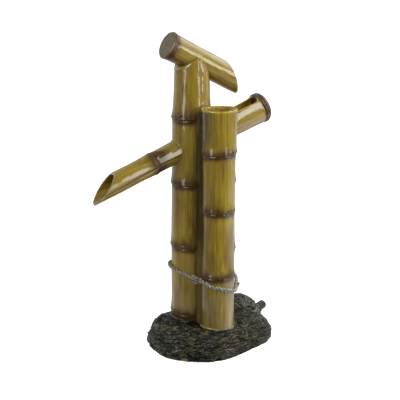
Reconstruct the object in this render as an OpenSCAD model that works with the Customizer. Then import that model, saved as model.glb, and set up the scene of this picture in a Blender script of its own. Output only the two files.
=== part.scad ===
// Bamboo pond spitter: a tall hollow pole with a slanted spout on top, a
// pouring arm that crosses the pole, two shorter poles, a rope binding and a
// layered rock foot with a hose inlet. Millimetres, +Z up. The origin is on
// the floor at the centre of the bounding box. +X runs along the arm towards
// its upper end, +Y to the back.

/* [Tall pole] */
// Radius of the tall pole at its foot
tall_r_foot = 30; // [29.6:0.1:30.2]
// Radius of the tall pole at its top
tall_r_top = 25.2; // [24.6:0.1:25.6]
// Wall thickness of the hollow poles
pole_wall = 4.5; // [3.5:0.1:5]
// How far a cane joint stands out of the cane
ring_h = 1.7; // [1:0.1:1.9]

/* [Short poles] */
// Height of the front pole above the floor
front_h = 355; // [350:1:358]
// Radius of the front pole at its top
front_r_top = 25.4; // [25:0.1:25.6]
// Depth of the dish in the front pole's top
dish_depth = 9; // [7:0.5:10]
// Radius of the rear pole
rear_r = 21.4; // [20.5:0.1:21.6]

/* [Spout] */
// Outer radius of the spout
spout_r = 19.2; // [19:0.1:19.4]
// Slope of the spout below level, in degrees
spout_slope = 26.5; // [26:0.5:27]
// Length of the spout along its underside
spout_len = 132; // [130:1:134]
// Wall of the spout and of the arm
tube_wall = 2.4; // [2.2:0.1:2.8]

/* [Arm] */
// Slope of the arm above level, in degrees
arm_slope = 20; // [19:0.5:21]
// Radius of the arm where it crosses the tall pole
arm_r = 17.6; // [17.4:0.1:17.8]
// Length of the arm below the tall pole's axis, along its underside
arm_low = 168.5; // [160:0.5:170]
// Length of the arm above the tall pole's axis
arm_high = 128.5; // [127:0.5:130]

/* [Rock foot] */
// Height of the rock where the poles stand in it
rock_h = 38; // [37:0.5:39]
// Depth of the sockets that hold the poles
socket_d = 12; // [10:0.5:13]
// Thickness of the cover under the rock
cover_t = 3; // [2.5:0.1:3.5]

/* [Water line] */
// Outer diameter of the inlet spigot
inlet_d = 14; // [13.6:0.1:14.4]
// Outer diameter of the riser hose
hose_d = 12; // [11.5:0.1:12.4]
// Inner diameter of the riser hose
hose_bore = 8; // [7.5:0.1:8.4]

/* [Rope] */
// Diameter of the rope
rope_d = 5.6; // [5.2:0.1:6]

/* [Hidden] */
eps = 0.02;

// ---- places, with the tall pole's axis at 0,0 ----
front_p = [14, -52];
rear_p = [50, 0];
arm_z0 = 297.8;                  // arm axis where it crosses the pole axis
spout_start = [-39, 0, 439];   // centre of the spout's closed end
rim_z = 0.4;                     // the rock's lower edge
cover_z = 1;                     // underside of the cover
pad_h = 2;                       // thickness of the feet, half sunk in the cover
seat_z = rock_h - socket_d;      // floor of the pole sockets

// Cane radii by height
tall_t = [[20, tall_r_foot], [60, tall_r_foot], [100, tall_r_foot - 0.1],
          [140, tall_r_foot - 0.2], [200, tall_r_foot - 0.6], [240, tall_r_foot - 0.9],
          [300, tall_r_foot - 1.3], [320, tall_r_foot - 1.6], [342, tall_r_foot - 2.6],
          [362, tall_r_top + 1.1], [385, tall_r_top + 0.2], [400, tall_r_top], [450, tall_r_top]];
front_t = [[20, 25], [60, 24.7], [112, 24], [142, 23.2], [180, 22.4], [208, 22.7],
           [240, 23.1], [270, 23.4], [289, 23.8], [330, 24.8], [front_h, front_r_top]];
rear_t = [[20, rear_r + 0.4], [134, rear_r], [300, rear_r - 1], [340, rear_r - 1]];
tall_n = [45, 148.5, 241.5, 334.5];
front_n = [113.8, 209.5, 293];
rear_n = [134, 236];

// Profile of a cane between two heights: the cane's own radii plus a
// double ridge at each joint
function bump(d) = abs(d) > 7 ? 0 :
    let (ridge = max(0, 1 - abs(abs(d) - 1.4) / 1.4) * 0.45,
         swell = pow(cos(abs(d) * 90 / 7), 2) * 0.75)
    swell + ridge;
function rad(t, n, z) = lookup(z, t) + (len(n) == 0 ? 0 : ring_h * max([for (k = n) bump(z - k)]));
function stations(n, a, b) =
    let (raw = concat([a, b], [for (k = n) for (d = [-7, -4.5, -2.8, -1.4, 0, 1.4, 2.8, 4.5, 7]) k + d],
                      [for (k = n) k - 40], [for (k = n) k + 40]))
    sorted([for (v = raw) if (v >= a && v <= b) v]);
function sorted(v) = len(v) <= 1 ? v :
    let (p = v[floor(len(v) / 2)])
    concat(sorted([for (x = v) if (x < p) x]), [p], sorted([for (x = v) if (x > p) x]));

module cane(t, n, a, b, grow = 0, fine = 96) {
    s = stations(n, a, b);
    rotate_extrude($fn = fine)
        polygon(concat([[0, a]], [for (z = s) [rad(t, n, z) + grow, z]], [[0, b]]));
}
module at_front() translate([front_p[0], front_p[1], 0]) children();
module at_rear() translate([rear_p[0], rear_p[1], 0]) children();

// ---- the arm and the spout as solids along their own axes ----
arm_t = [[-180, 14.9], [-165, 15], [-122, 15.6], [-95, 15.4], [-75, 15.7], [-40, 16.1],
         [0, arm_r], [40, 19.2], [82, 20.7], [118, 21.7], [140, 22]];
function arm_rad(s) = lookup(s, arm_t);
module along_arm() translate([0, 0, arm_z0]) rotate([0, 90 - arm_slope, 0]) children();
module along_spout() translate(spout_start) rotate([0, 90 + spout_slope, 0]) children();

arm_ring = -65;                  // the arm's cane joint, along its axis
module arm_body(grow = 0) {
    a = -arm_low - 3; b = arm_high;
    s = [a, -122, -95, arm_ring - 8, arm_ring - 3.2, arm_ring - 1.4, arm_ring, arm_ring + 1.4,
         arm_ring + 3.2, arm_ring + 8, -40, 0, 40, 82, b - 16, b - 12, b - 10, b - 8, b - 6, b - 4, b - 1.5, b];
    h = [0, 0, 0, 0.2, 0.8, 1.5, 0.9, 1.6, 0.9, 0.2, 0, 0, 0, 0, 0, 0.5, 1.0, 0.4, 0.5, 1.0, 0.4, -1.4];
    rotate_extrude($fn = 96)
        polygon(concat([[0, a]], [for (i = [0 : len(s) - 1]) [arm_rad(s[i]) + h[i] + grow, s[i]]], [[0, b]]));
}
// The arm's hollow, following its taper inside the wall
module arm_hollow(b) {
    a = -arm_low - 8;
    s = [a, -95, -40, 0, 40, 82, b];
    rotate_extrude($fn = 96)
        polygon(concat([[0, a]], [for (v = s) [arm_rad(v) - tube_wall, v]], [[0, b]]));
}
// Cuts the low end to a long slanted mouth, its lower lip longest
mouth_top = -124;
module arm_mouth_cut() {
    r0 = arm_rad(-arm_low); r1 = arm_rad(mouth_top);
    ang = atan2(r0 + r1, arm_low + mouth_top);
    translate([0, 0, arm_z0]) rotate([0, -arm_slope, 0])
        translate([-arm_low, 0, -r0]) rotate([0, -ang, 0])
            translate([-60, -40, 0]) cube([140, 80, 60]);
}
// The notch in the arm's top that catches the falling water
notch_a = 75; notch_b = 120.5; notch_n = 15.3;
module arm_notch() translate([0, 0, arm_z0]) rotate([0, -arm_slope, 0])
    translate([0, 0, notch_n]) rotate([90, 0, 0]) translate([0, 0, -40]) linear_extrude(80)
        polygon([[notch_a + 5, 0], [notch_b - 6, 0], [notch_b, 5.5], [notch_b, 16], [notch_a, 16], [notch_a, 4.5]]);

spout_t = [[0, spout_r], [14, spout_r - 0.2], [60, spout_r - 0.9], [100, spout_r - 1.4], [140, spout_r - 1.8]];
module spout_body(grow = 0) {
    b = spout_len + 2;
    rotate_extrude($fn = 96)
        polygon(concat([[0, 0], [spout_r - 0.8 + grow, 0], [spout_r + 0.3 + grow, 0.7],
                 [spout_r + 0.8 + grow, 2], [spout_r + 0.6 + grow, 4.5], [spout_r - 0.1 + grow, 7]],
                 [for (v = [14, 60, 100, b]) [lookup(v, spout_t) + grow, v]], [[0, b]]));
}
// The slanted cut of the spout, its lower lip longest
spout_top_len = spout_len - 36;
module spout_mouth_cut() {
    r0 = lookup(spout_len, spout_t); r1 = lookup(spout_top_len, spout_t);
    ang = atan2(r0 + r1, spout_len - spout_top_len);
    translate(spout_start) rotate([0, spout_slope, 0])
        translate([spout_len, 0, -r0]) rotate([0, -(180 - ang), 0])
            translate([-60, -40, -60]) cube([140, 80, 60]);
}

// ---- the rock's outline ----
rock_c = [20, -28];
rock_pts = [[-79, -16], [-76, -38], [-73, -51], [-66, -63], [-52, -76], [-35, -88], [-14, -96],
            [6, -98], [20, -95], [34, -91], [47, -87], [62, -83], [76, -78], [88, -74],
            [99, -67], [109, -54], [115, -38], [118, -18], [115, 2], [104, 20], [86, 33],
            [62, 41], [36, 45], [8, 46], [-20, 43], [-44, 36], [-62, 23], [-74, 6]];
function cr(p0, p1, p2, p3, t) = 0.5 * ((2 * p1) + (p2 - p0) * t
    + (2 * p0 - 5 * p1 + 4 * p2 - p3) * t * t + (3 * p1 - p0 - 3 * p2 + p3) * t * t * t);
function smooth_loop(p, m) = let (n = len(p)) [for (i = [0 : n - 1]) for (j = [0 : m - 1])
    cr(p[(i + n - 1) % n], p[i], p[(i + 1) % n], p[(i + 2) % n], j / m)];
rock_loop = smooth_loop(rock_pts, 3);
function ang_of(p) = atan2(p[1] - rock_c[1], p[0] - rock_c[0]);
function layer(f, k, amp) = [for (p = rock_loop)
    rock_c + [-20, 14] * (1 - f) + (p - rock_c) * f * (1 + amp * sin(ang_of(p) * (5 + k) + 67 * k) * 0.6
                                   + amp * sin(ang_of(p) * (11 + 2 * k) + 31 * k) * 0.4)];
// [bottom, top, size, ripple] of each layer of slate
rock_layers = [[rim_z, 4, 0.985, 0.004], [4, 12, 1, 0], [12, 18, 0.965, 0.01], [18, 24, 0.92, 0.012],
               [24, 29, 0.865, 0.014], [29, 34, 0.80, 0.014], [34, rock_h, 0.72, 0.012]];
hump_c = [84, 4];
hump_layers = [[14, 27, 34], [27, 34, 29.5], [34, 40, 24], [40, 44, 17.5], [44, 47.5, 10.5]];
function hump(r, k) = [for (i = [0 : 35]) hump_c
    + r * [cos(i * 10) * 1.05, sin(i * 10) * 0.95] * (1 + 0.05 * sin(i * 30 + 50 * k))];

// ---- water inlet ----
inlet_z = 28.5;
inlet_dir = 30;                  // degrees from +X towards +Y
inlet_end = [125.5, -3.5];
inlet_grip = 17;                 // length of spigot that takes a hose
module along_inlet() translate([inlet_end[0], inlet_end[1], inlet_z]) rotate([0, 0, inlet_dir])
    rotate([0, -90, 0]) children();   // runs inwards from the spigot's open end

// ---- origin: the middle of the bounding box ----
function arm_x(s, n) = s * cos(arm_slope) - n * sin(arm_slope);
x_lo = arm_x(-arm_low, -arm_rad(-arm_low));
x_hi = max(arm_x(arm_high - 1.5, -(arm_rad(arm_high - 1.5) + 0.4)), arm_x(arm_high - 4, -(arm_rad(arm_high - 4) + 1)));
y_lo = min([for (p = rock_loop) p[1]]);
y_hi = max([for (p = rock_loop) p[1]]);
shift = [-(x_lo + x_hi) / 2, -(y_lo + y_hi) / 2, 0];
module placed() translate(shift) children();

// ================= modules, one per piece =================

module rock_base() color([0.20, 0.20, 0.17]) placed() difference() {
    union() {
        for (i = [0 : len(rock_layers) - 1])
            translate([0, 0, rock_layers[i][0]])
                linear_extrude(rock_layers[i][1] - rock_layers[i][0])
                    polygon(layer(rock_layers[i][2], i, rock_layers[i][3]));
        for (i = [0 : len(hump_layers) - 1])
            translate([0, 0, hump_layers[i][0]])
                linear_extrude(hump_layers[i][1] - hump_layers[i][0])
                    polygon(hump(hump_layers[i][2], i));
        // shoulder over the hose and boss round the inlet
        for (v = [[14, 30, 25], [30, 35, 20.5], [35, 38.5, 15]])
            translate([87, -15, v[0]]) cylinder(r = v[2], h = v[1] - v[0], $fn = 60);
        along_inlet() translate([0, 0, 17]) cylinder(r1 = 10, r2 = 13.5, h = 20, $fn = 72);
    }
    // room for the hose
    difference() {
        linear_extrude(18.5) polygon(layer(0.78, 0, 0));
        // bosses for the cover's screws
        for (p = screw_p) translate([p[0], p[1], cover_z + cover_t]) cylinder(r = 5.5, h = 20, $fn = 48);
    }
    linear_extrude(cover_z + cover_t) polygon(layer(0.84, 0, 0));
    translate([90, -25, 5]) cylinder(r = 9, h = 28, $fn = 72);
    translate([81, -27, 5]) cylinder(r = 9, h = 25, $fn = 72);
    // pole sockets
    translate([0, 0, seat_z]) cylinder(r = tall_r_foot + 0.1, h = 60, $fn = 96);
    translate([front_p[0], front_p[1], seat_z]) cylinder(r = 25.1, h = 60, $fn = 96);
    translate([rear_p[0], rear_p[1], seat_z]) cylinder(r = rear_r + 0.5, h = 60, $fn = 96);
    // hose passage into the tall pole
    translate([0, 0, 5]) cylinder(r = 12, h = 40, $fn = 72);
    // inlet, and room for a hose end round it
    along_inlet() cylinder(r = inlet_d / 2 + 1.4, h = 46, $fn = 72);
    along_inlet() translate([0, 0, -10]) cylinder(r = inlet_d / 2 + 3, h = 10 + inlet_grip, $fn = 80);
    // screw pilots
    for (p = screw_p) translate([p[0], p[1], 3]) cylinder(r = 1.3, h = 13, $fn = 32);
}
screw_p = [[-43, 9], [-36, -57], [72, -53], [66, 16]];
pad_p = [[-50, -22], [-6, -72], [88, -26], [38, 26]];
module base_cover() color([0.13, 0.13, 0.13]) placed() difference() {
    translate([0, 0, cover_z]) linear_extrude(cover_t) polygon(layer(0.835, 0, 0));
    for (p = screw_p) {
        translate([p[0], p[1], 0]) cylinder(r = 2, h = 10, $fn = 32);
        translate([p[0], p[1], 0]) cylinder(r = 3.8, h = cover_z + 1.6, $fn = 32);
    }
    for (p = pad_p) translate([p[0], p[1], 0]) cylinder(r = 7.1, h = pad_h, $fn = 64);
}
module cover_screws() color([0.62, 0.60, 0.56]) placed() for (p = screw_p)
    translate([p[0], p[1], 0]) difference() {
        union() {
            translate([0, 0, cover_z]) cylinder(r = 3.4, h = 1.6, $fn = 48);
            translate([0, 0, cover_z + 1.4]) cylinder(r = 1.28, h = 11, $fn = 32);
        }
        translate([-2.2, -0.45, cover_z - 1]) cube([4.4, 0.9, 1.7]);
        translate([-0.45, -2.2, cover_z - 1]) cube([0.9, 4.4, 1.7]);
    }
module foot_pads() color([0.07, 0.07, 0.07]) placed() for (p = pad_p)
    translate([p[0], p[1], 0]) cylinder(r = 7, h = pad_h, $fn = 64);

// The upper end of the tall pole is coped to the spout: two ears that rise
// to the spout's middle
module above_ears() rotate([90, 0, 0]) translate([0, 0, -40]) linear_extrude(80)
    polygon([[-40, 405], [-28, 405], [-14, 414], [-1, 419], [8, 411], [17, 398], [30, 386], [40, 386], [40, 470], [-40, 470]]);
module tall_pole() color([0.62, 0.54, 0.20]) placed() difference() {
    cane(tall_t, tall_n, seat_z, 440);
    translate([0, 0, seat_z - 1]) cylinder(r1 = tall_r_foot - pole_wall, r2 = tall_r_top - pole_wall, h = 381 - seat_z, $fn = 96);
    translate([0, 0, 370]) cylinder(r = 17, h = 80, $fn = 96);
    along_spout() spout_body(eps);
    above_ears();
    along_arm() arm_body(eps);
}
module dish() {
    // shallow saucer with a rounded lip
    translate([0, 0, front_h + 31]) sphere(r = 31 + dish_depth, $fn = 96);
}
module front_pole() color([0.66, 0.58, 0.20]) placed() difference() {
    at_front() cane(front_t, front_n, seat_z, front_h);
    at_front() translate([0, 0, seat_z - 1])
        cylinder(r = 22.4 - pole_wall, h = front_h - dish_depth - 6 - seat_z, $fn = 96);
    at_front() intersection() {
        dish();
        translate([0, 0, front_h - 20]) cylinder(r = front_r_top - 2.6, h = 40, $fn = 96);
    }
    cane(tall_t, tall_n, seat_z - 1, 400, eps);
}
module rear_pole() color([0.60, 0.50, 0.20]) placed() difference() {
    at_rear() cane(rear_t, rear_n, seat_z, 330);
    at_rear() translate([0, 0, seat_z - 1]) cylinder(r = rear_r - 1 - pole_wall, h = 250, $fn = 96);
    along_arm() arm_body(eps);
    translate([0, 0, arm_z0]) rotate([0, -arm_slope, 0]) translate([0, -50, -12]) cube([120, 100, 60]);
    cane(tall_t, tall_n, seat_z - 1, 400, eps);
}

module spout() color([0.64, 0.56, 0.22]) placed() difference() {
    along_spout() spout_body();
    along_spout() translate([0, 0, 3.5]) cylinder(r = spout_r - tube_wall, h = 200, $fn = 96);
    along_spout() translate([0, 0, -1]) cylinder(r = spout_r - 2, h = 10, $fn = 96);
    spout_mouth_cut();
    // where the nozzle comes in from below
    translate([0, 0, 380]) cylinder(r = hose_d / 2 + 0.6, h = 24, $fn = 64);
}
module spout_end_plug() color([0.42, 0.39, 0.30]) placed() along_spout()
    translate([0, 0, 0.2]) cylinder(r = spout_r - 2 - eps, h = 6, $fn = 96);

module pouring_arm() color([0.66, 0.58, 0.22]) placed() difference() {
    along_arm() arm_body();
    along_arm() arm_hollow(arm_high + 1);
    arm_mouth_cut();
    arm_notch();
    // the riser passes through here
    translate([0, 0, 250]) cylinder(r = hose_d / 2 + 1.6, h = 100, $fn = 64);
}
module arm_end_plug() color([0.34, 0.24, 0.12]) placed() along_arm()
    translate([0, 0, arm_high - 7]) rotate_extrude($fn = 96)
        polygon([[0, 0], [arm_rad(arm_high - 7) - tube_wall - eps, 0],
                 [arm_rad(arm_high - 1.5) - tube_wall - eps, 5.5], [0, 5.5]]);

// Beads of casting resin in the corners where canes meet
module saddle_bead() color([0.60, 0.52, 0.20]) placed() difference() {
    intersection() {
        translate([0, 0, 380]) cylinder(r = tall_r_top - 0.6, h = 60, $fn = 96);
        along_spout() cylinder(r1 = spout_r + 1.8, r2 = spout_r + 0.6, h = 100, $fn = 96);
        translate([0, 0, 1.4]) rotate([90, 0, 0]) translate([0, 0, -40]) linear_extrude(80)
            polygon([[-40, 405], [-28, 405], [-14, 414], [-1, 419], [8, 411], [17, 398], [30, 386], [40, 386], [40, 300], [-40, 300]]);
    }
    difference() {
        cylinder(r = tall_r_top + 2, h = 470, $fn = 96);
        above_ears();
    }
    along_spout() spout_body(eps);
}
module arm_bead(side) difference() {
    intersection() {
        cane(tall_t, [], 255, 345, 2.6);
        along_arm() cylinder(r1 = arm_rad(-60) + 2.8, r2 = arm_rad(60) + 2.8, h = 120, center = true, $fn = 96);
        translate([side > 0 ? 0 : -60, -60, 240]) cube([60, 120, 120]);
    }
    cane(tall_t, tall_n, 250, 350, eps);
    along_arm() arm_body(eps);
}
module arm_bead_low() color([0.60, 0.52, 0.20]) placed() arm_bead(-1);
module arm_bead_high() color([0.60, 0.52, 0.20]) placed() difference() {
    arm_bead(1);
    at_rear() cane(rear_t, rear_n, 200, 330, eps);
}
module rear_pole_bead() color([0.56, 0.46, 0.20]) placed() difference() {
    intersection() {
        at_rear() cylinder(r = rear_r + 1.8, h = 340, $fn = 96);
        along_arm() cylinder(r1 = arm_r + 2.8, r2 = arm_rad(100) + 2.8, h = 100, $fn = 96);
        translate([0, -50, 0]) cube([100, 100, 340]);
        translate([0, 0, arm_z0]) rotate([0, -arm_slope, 0]) translate([0, -50, -60]) cube([120, 100, 55]);
    }
    at_rear() cane(rear_t, rear_n, 200, 330, eps);
    along_arm() arm_body(eps);
    cane(tall_t, tall_n, 100, 400, 3);
}

// Resin in the valleys between the canes
module web(p, q, tq, nq, w, z0, z1) {
    d = norm(q - p); a = atan2(q[1] - p[1], q[0] - p[0]);
    difference() {
        translate([p[0], p[1], 0]) rotate([0, 0, a]) translate([d * 0.5 - 16, -w, z0]) cube([32, 2 * w, z1 - z0]);
        cane(tall_t, tall_n, 20, 400, eps, 240);
        translate([q[0], q[1], 0]) cane(tq, nq, 20, z1 + 10, eps, 240);
    }
}
// Front valley: fuller on its left side and in its lower third
module front_fill(z0, z1, nq, grow = 0) {
    d = norm(front_p); a = atan2(front_p[1], front_p[0]);
    difference() {
        rotate([0, 0, a]) translate([d * 0.5 - 16, 0, 0]) rotate([90, 0, 90]) linear_extrude(32)
            polygon([[-18 - grow, z0], [13 + grow, z0], [13 + grow, z1], [-14 - grow, z1],
                     [-14 - grow, max(z0, min(z1, 165))], [-18 - grow, max(z0, min(z1, 125))]]);
        cane(tall_t, tall_n, 20, 400, eps, 240);
        at_front() cane(front_t, nq, 20, z1 + 10, eps, 240);
    }
}
module front_web() color([0.25, 0.19, 0.08]) placed() front_fill(rock_h, front_h - 6, front_n);
module rear_web() color([0.25, 0.19, 0.08]) placed() difference() {
    web([0, 0], rear_p, rear_t, rear_n, 11, rock_h, 262);
    at_front() cane(front_t, front_n, 20, 340, eps, 240);
}
module foot_bead() color([0.22, 0.16, 0.08]) placed() difference() {
    union() {
        translate([0, 0, rock_h]) cylinder(r1 = tall_r_foot + 3, r2 = tall_r_foot + 1.8, h = 2.2, $fn = 96);
        translate([front_p[0], front_p[1], rock_h]) cylinder(r1 = 28, r2 = 26.6, h = 2.2, $fn = 96);
    }
    cane(tall_t, [], 20, 60, 1);
    at_front() cane(front_t, [], 20, 60, eps);
    front_fill(20, 60, [], eps);
    at_rear() cylinder(r = rear_r + 4, h = 60, $fn = 96);
}

// ---- rope ----
// Middle of the rope round the three poles, tied in the valley at the front
rope_r = rope_d / 2;
// The rope is taut, so it runs straight between the canes
rope_route = [[-31.6, -8.5, 115], [-24.8, -26, 112], [-18.6, -42, 109.6], [-12.4, -58, 108.2],
              [-7, -68, 104], [3, -76.5, 101.5], [15, -79.2, 98], [27, -75.6, 94.5], [35.8, -67.2, 92],
              [47.5, -49, 90], [59, -31.5, 88], [70, -14, 86.5], [74.4, -2, 87], [73, 9.5, 89], [66, 18.5, 92],
              [55, 24.3, 95.5], [38, 28.2, 100], [20, 31, 105], [3, 33, 110], [-13, 30.4, 114],
              [-26, 20.2, 116.5], [-32.4, 6, 117]];
function rope_path(m) = smooth_loop(rope_route, m);
function unit(v) = v / norm(v);
function tube_ring(c, d, r, k) = let (u = unit(cross(d, [0, 0, 1])), w = unit(cross(u, d)))
    [for (i = [0 : k - 1]) c + r * (cos(i * 360 / k) * u + sin(i * 360 / k) * w)];
module closed_tube(path, r, k) {
    n = len(path);
    pts = [for (i = [0 : n - 1]) each tube_ring(path[i], unit(path[(i + 1) % n] - path[(i + n - 1) % n]), r, k)];
    faces = [for (i = [0 : n - 1]) for (j = [0 : k - 1])
        [i * k + j, i * k + (j + 1) % k, ((i + 1) % n) * k + (j + 1) % k, ((i + 1) % n) * k + j]];
    polyhedron(pts, faces, convexity = 8);
}
module open_tube(path, r, k) {
    n = len(path);
    pts = [for (i = [0 : n - 1]) each tube_ring(path[i],
        unit(path[min(i + 1, n - 1)] - path[max(i - 1, 0)]), r, k)];
    faces = concat([[for (j = [0 : k - 1]) k - 1 - j]],
        [for (i = [0 : n - 2]) for (j = [0 : k - 1])
            [i * k + j, i * k + (j + 1) % k, (i + 1) * k + (j + 1) % k, (i + 1) * k + j]],
        [[for (j = [0 : k - 1]) (n - 1) * k + j]]);
    polyhedron(pts, faces, convexity = 8);
}
module rope_loop() color([0.55, 0.50, 0.42]) placed() difference() {
    closed_tube(rope_path(3), rope_r, 10);
    knot_body();
}
knot_c = [-17.3, -45.6, 109.2];
module knot_body() difference() {
    translate(knot_c) rotate([0, 0, -68.5]) rotate([0, 97, 0]) cylinder(r = 5.4, h = 16.5, center = true, $fn = 48);
    at_front() cane(front_t, front_n, 80, 140, eps, 240);
}
module rope_knot() color([0.55, 0.50, 0.42]) placed() knot_body();
module rope_tails() color([0.58, 0.53, 0.45]) placed() {
    open_tube([[43, -62, 93.6], [48, -55.5, 94.5], [53, -49, 94]], 1.8, 8);
}

// ---- water line ----
module inlet_spigot() color([0.03, 0.03, 0.03]) placed() along_inlet() difference() {
    union() {
        // the hose pushes on as far as the gland
        cylinder(r = inlet_d / 2, h = inlet_grip, $fn = 72);
        translate([0, 0, inlet_grip - 0.5]) cylinder(r = inlet_d / 2 - 0.4, h = 26.5 - inlet_grip, $fn = 72);
        translate([0, 0, 26]) cylinder(r = hose_bore / 2 - eps, h = 11, $fn = 48);
    }
    translate([0, 0, -1]) cylinder(r = inlet_d / 2 - 2, h = 24, $fn = 72);
    translate([0, 0, 20]) cylinder(r = hose_bore / 2 - 1.4, h = 20, $fn = 48);
}
module inlet_gland() color([0.10, 0.10, 0.09]) placed() along_inlet() translate([0, 0, inlet_grip + eps]) difference() {
    cylinder(r = inlet_d / 2 + 1.4 - eps, h = 9, $fn = 72);
    translate([0, 0, -1]) cylinder(r = inlet_d / 2 - 0.4 + eps, h = 20, $fn = 72);
}
module inlet_hose() color([0.10, 0.10, 0.10]) placed() difference() {
    open_tube(hose_path, hose_d / 2, 12);
    open_tube(hose_path2, hose_bore / 2, 12);
}
hose_route = [[103, -16.5, 28.5], [93.5, -22, 27.2], [80, -28, 20.5], [64, -31, 13.5], [44, -26, 12], [28, -16.5, 12], [12.5, -7.6, 12]];
function smooth_open(p, m) = let (n = len(p)) concat([for (i = [0 : n - 2]) for (j = [0 : m - 1])
    cr(p[max(i - 1, 0)], p[i], p[i + 1], p[min(i + 2, n - 1)], j / m)], [p[n - 1]]);
hose_path = smooth_open(hose_route, 3);
hose_path2 = concat([hose_path[0] + 2 * unit(hose_path[0] - hose_path[1])], hose_path,
                    [hose_path[len(hose_path) - 1] + 2 * unit(hose_path[len(hose_path) - 1] - hose_path[len(hose_path) - 2])]);
// Barbed elbow that turns from the hose's direction up into the pole
module base_elbow() color([0.08, 0.08, 0.08]) placed() rotate([0, 0, -31.3]) difference() {
    union() {
        translate([0, 0, 5.6]) cylinder(r = 6.2, h = 17.4, $fn = 48);
        translate([0, 0, 5.6]) cylinder(r = hose_bore / 2 - eps, h = 29, $fn = 48);
        translate([0, 0, 12]) rotate([0, 90, 0]) cylinder(r = 5.6, h = 14.4, $fn = 48);
        translate([0, 0, 12]) rotate([0, 90, 0]) cylinder(r = hose_bore / 2 - 0.2, h = 25, $fn = 48);
    }
    translate([0, 0, 12]) rotate([0, 90, 0]) cylinder(r = 2.4, h = 30, $fn = 48);
    translate([0, 0, 8]) cylinder(r = 2.7, h = 40, $fn = 48);
}
module riser_hose() color([0.12, 0.12, 0.12]) placed() translate([0, 0, 23]) difference() {
    cylinder(r = hose_d / 2, h = 359, $fn = 64);
    translate([0, 0, -1]) cylinder(r = hose_bore / 2, h = 370, $fn = 64);
}
module arm_grommets() color([0.09, 0.09, 0.09]) placed() {
    // ring seals in the arm's upper and lower wall round the riser
    difference() {
        intersection() {
            translate([0, 0, 250]) cylinder(r = hose_d / 2 + 1.6 - eps, h = 100, $fn = 64);
            difference() {
                along_arm() arm_body(0.6);
                along_arm() rotate_extrude($fn = 96)
                    polygon([[0, -60], [arm_rad(-60) - tube_wall - 0.6, -60],
                             [arm_rad(60) - tube_wall - 0.6, 60], [0, 60]]);
            }
        }
        translate([0, 0, 240]) cylinder(r = hose_d / 2 + eps, h = 120, $fn = 64);
    }
}
// Barbed nozzle on top of the riser that turns the water down the spout
nozzle_z = 409;
module spout_nozzle() color([0.08, 0.08, 0.08]) placed() difference() {
    union() {
        translate([0, 0, 382]) cylinder(r = 6.2, h = nozzle_z + 8 - 382, $fn = 48);
        translate([0, 0, 366]) cylinder(r = hose_bore / 2 - eps, h = 30, $fn = 48);
        translate([0, 0, nozzle_z]) rotate([0, 90 + spout_slope, 0]) cylinder(r = 5.4, h = 22, $fn = 48);
    }
    translate([0, 0, 360]) cylinder(r = 2.7, h = nozzle_z + 4 - 360, $fn = 48);
    translate([0, 0, nozzle_z]) rotate([0, 90 + spout_slope, 0]) cylinder(r = 2.9, h = 30, $fn = 48);
}
module clip() difference() {
    union() {
        cylinder(r = hose_d / 2 + 1.2, h = 5, $fn = 48);
        translate([hose_d / 2, -2, 0]) cube([4, 4, 5]);
    }
    translate([0, 0, -1]) cylinder(r = hose_d / 2 + eps, h = 8, $fn = 48);
    translate([hose_d / 2 - 1, -0.5, -1]) cube([6, 1, 8]);
}
module hose_clips() color([0.55, 0.55, 0.55]) placed() {
    translate([0, 0, 26]) clip();
    translate([0, 0, 372]) clip();
}

rock_base();
base_cover();
cover_screws();
foot_pads();
tall_pole();
front_pole();
rear_pole();
spout();
spout_end_plug();
pouring_arm();
arm_end_plug();
saddle_bead();
arm_bead_low();
arm_bead_high();
rear_pole_bead();
front_web();
rear_web();
foot_bead();
rope_loop();
rope_knot();
rope_tails();
inlet_spigot();
inlet_gland();
inlet_hose();
base_elbow();
riser_hose();
arm_grommets();
spout_nozzle();
hose_clips();
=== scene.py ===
import math
import bmesh
import bpy
import numpy as np
from mathutils import Matrix, Vector


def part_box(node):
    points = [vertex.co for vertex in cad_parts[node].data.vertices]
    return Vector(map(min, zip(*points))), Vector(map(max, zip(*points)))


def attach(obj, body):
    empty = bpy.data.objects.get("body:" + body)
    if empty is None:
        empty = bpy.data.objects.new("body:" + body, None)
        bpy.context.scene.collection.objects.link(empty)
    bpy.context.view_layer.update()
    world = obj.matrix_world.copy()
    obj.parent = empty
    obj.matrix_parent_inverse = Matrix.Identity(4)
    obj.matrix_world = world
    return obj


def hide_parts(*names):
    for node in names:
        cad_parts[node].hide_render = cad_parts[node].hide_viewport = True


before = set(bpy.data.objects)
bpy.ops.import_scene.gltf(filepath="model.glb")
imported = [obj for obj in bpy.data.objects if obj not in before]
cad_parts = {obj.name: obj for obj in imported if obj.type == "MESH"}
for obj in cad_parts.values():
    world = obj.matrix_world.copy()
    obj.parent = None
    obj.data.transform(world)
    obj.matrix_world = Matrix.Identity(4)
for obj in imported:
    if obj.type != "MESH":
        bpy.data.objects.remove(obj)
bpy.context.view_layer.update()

# All shapes below are worked out in millimetres with the tall pole's axis at
# 0,0. S moves them into the row's frame.
_lo, _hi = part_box("tall_pole")
S = np.array([(_lo.x + _hi.x) / 2, (_lo.y + _hi.y) / 2, 0.0])
MM = 0.001


# ------------------------------------------------------------------ noise
def _hash(ix, iy, iz, seed):
    h = (ix * 374761393 + iy * 668265263 + iz * 1440662683 + seed * 974634777) & 0xFFFFFFFF
    h = ((h ^ (h >> 13)) * 1274126177) & 0xFFFFFFFF
    h = ((h ^ (h >> 15)) * 668265263) & 0xFFFFFFFF
    return ((h ^ (h >> 16)) & 0xFFFF) / 32767.5 - 1.0


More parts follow.
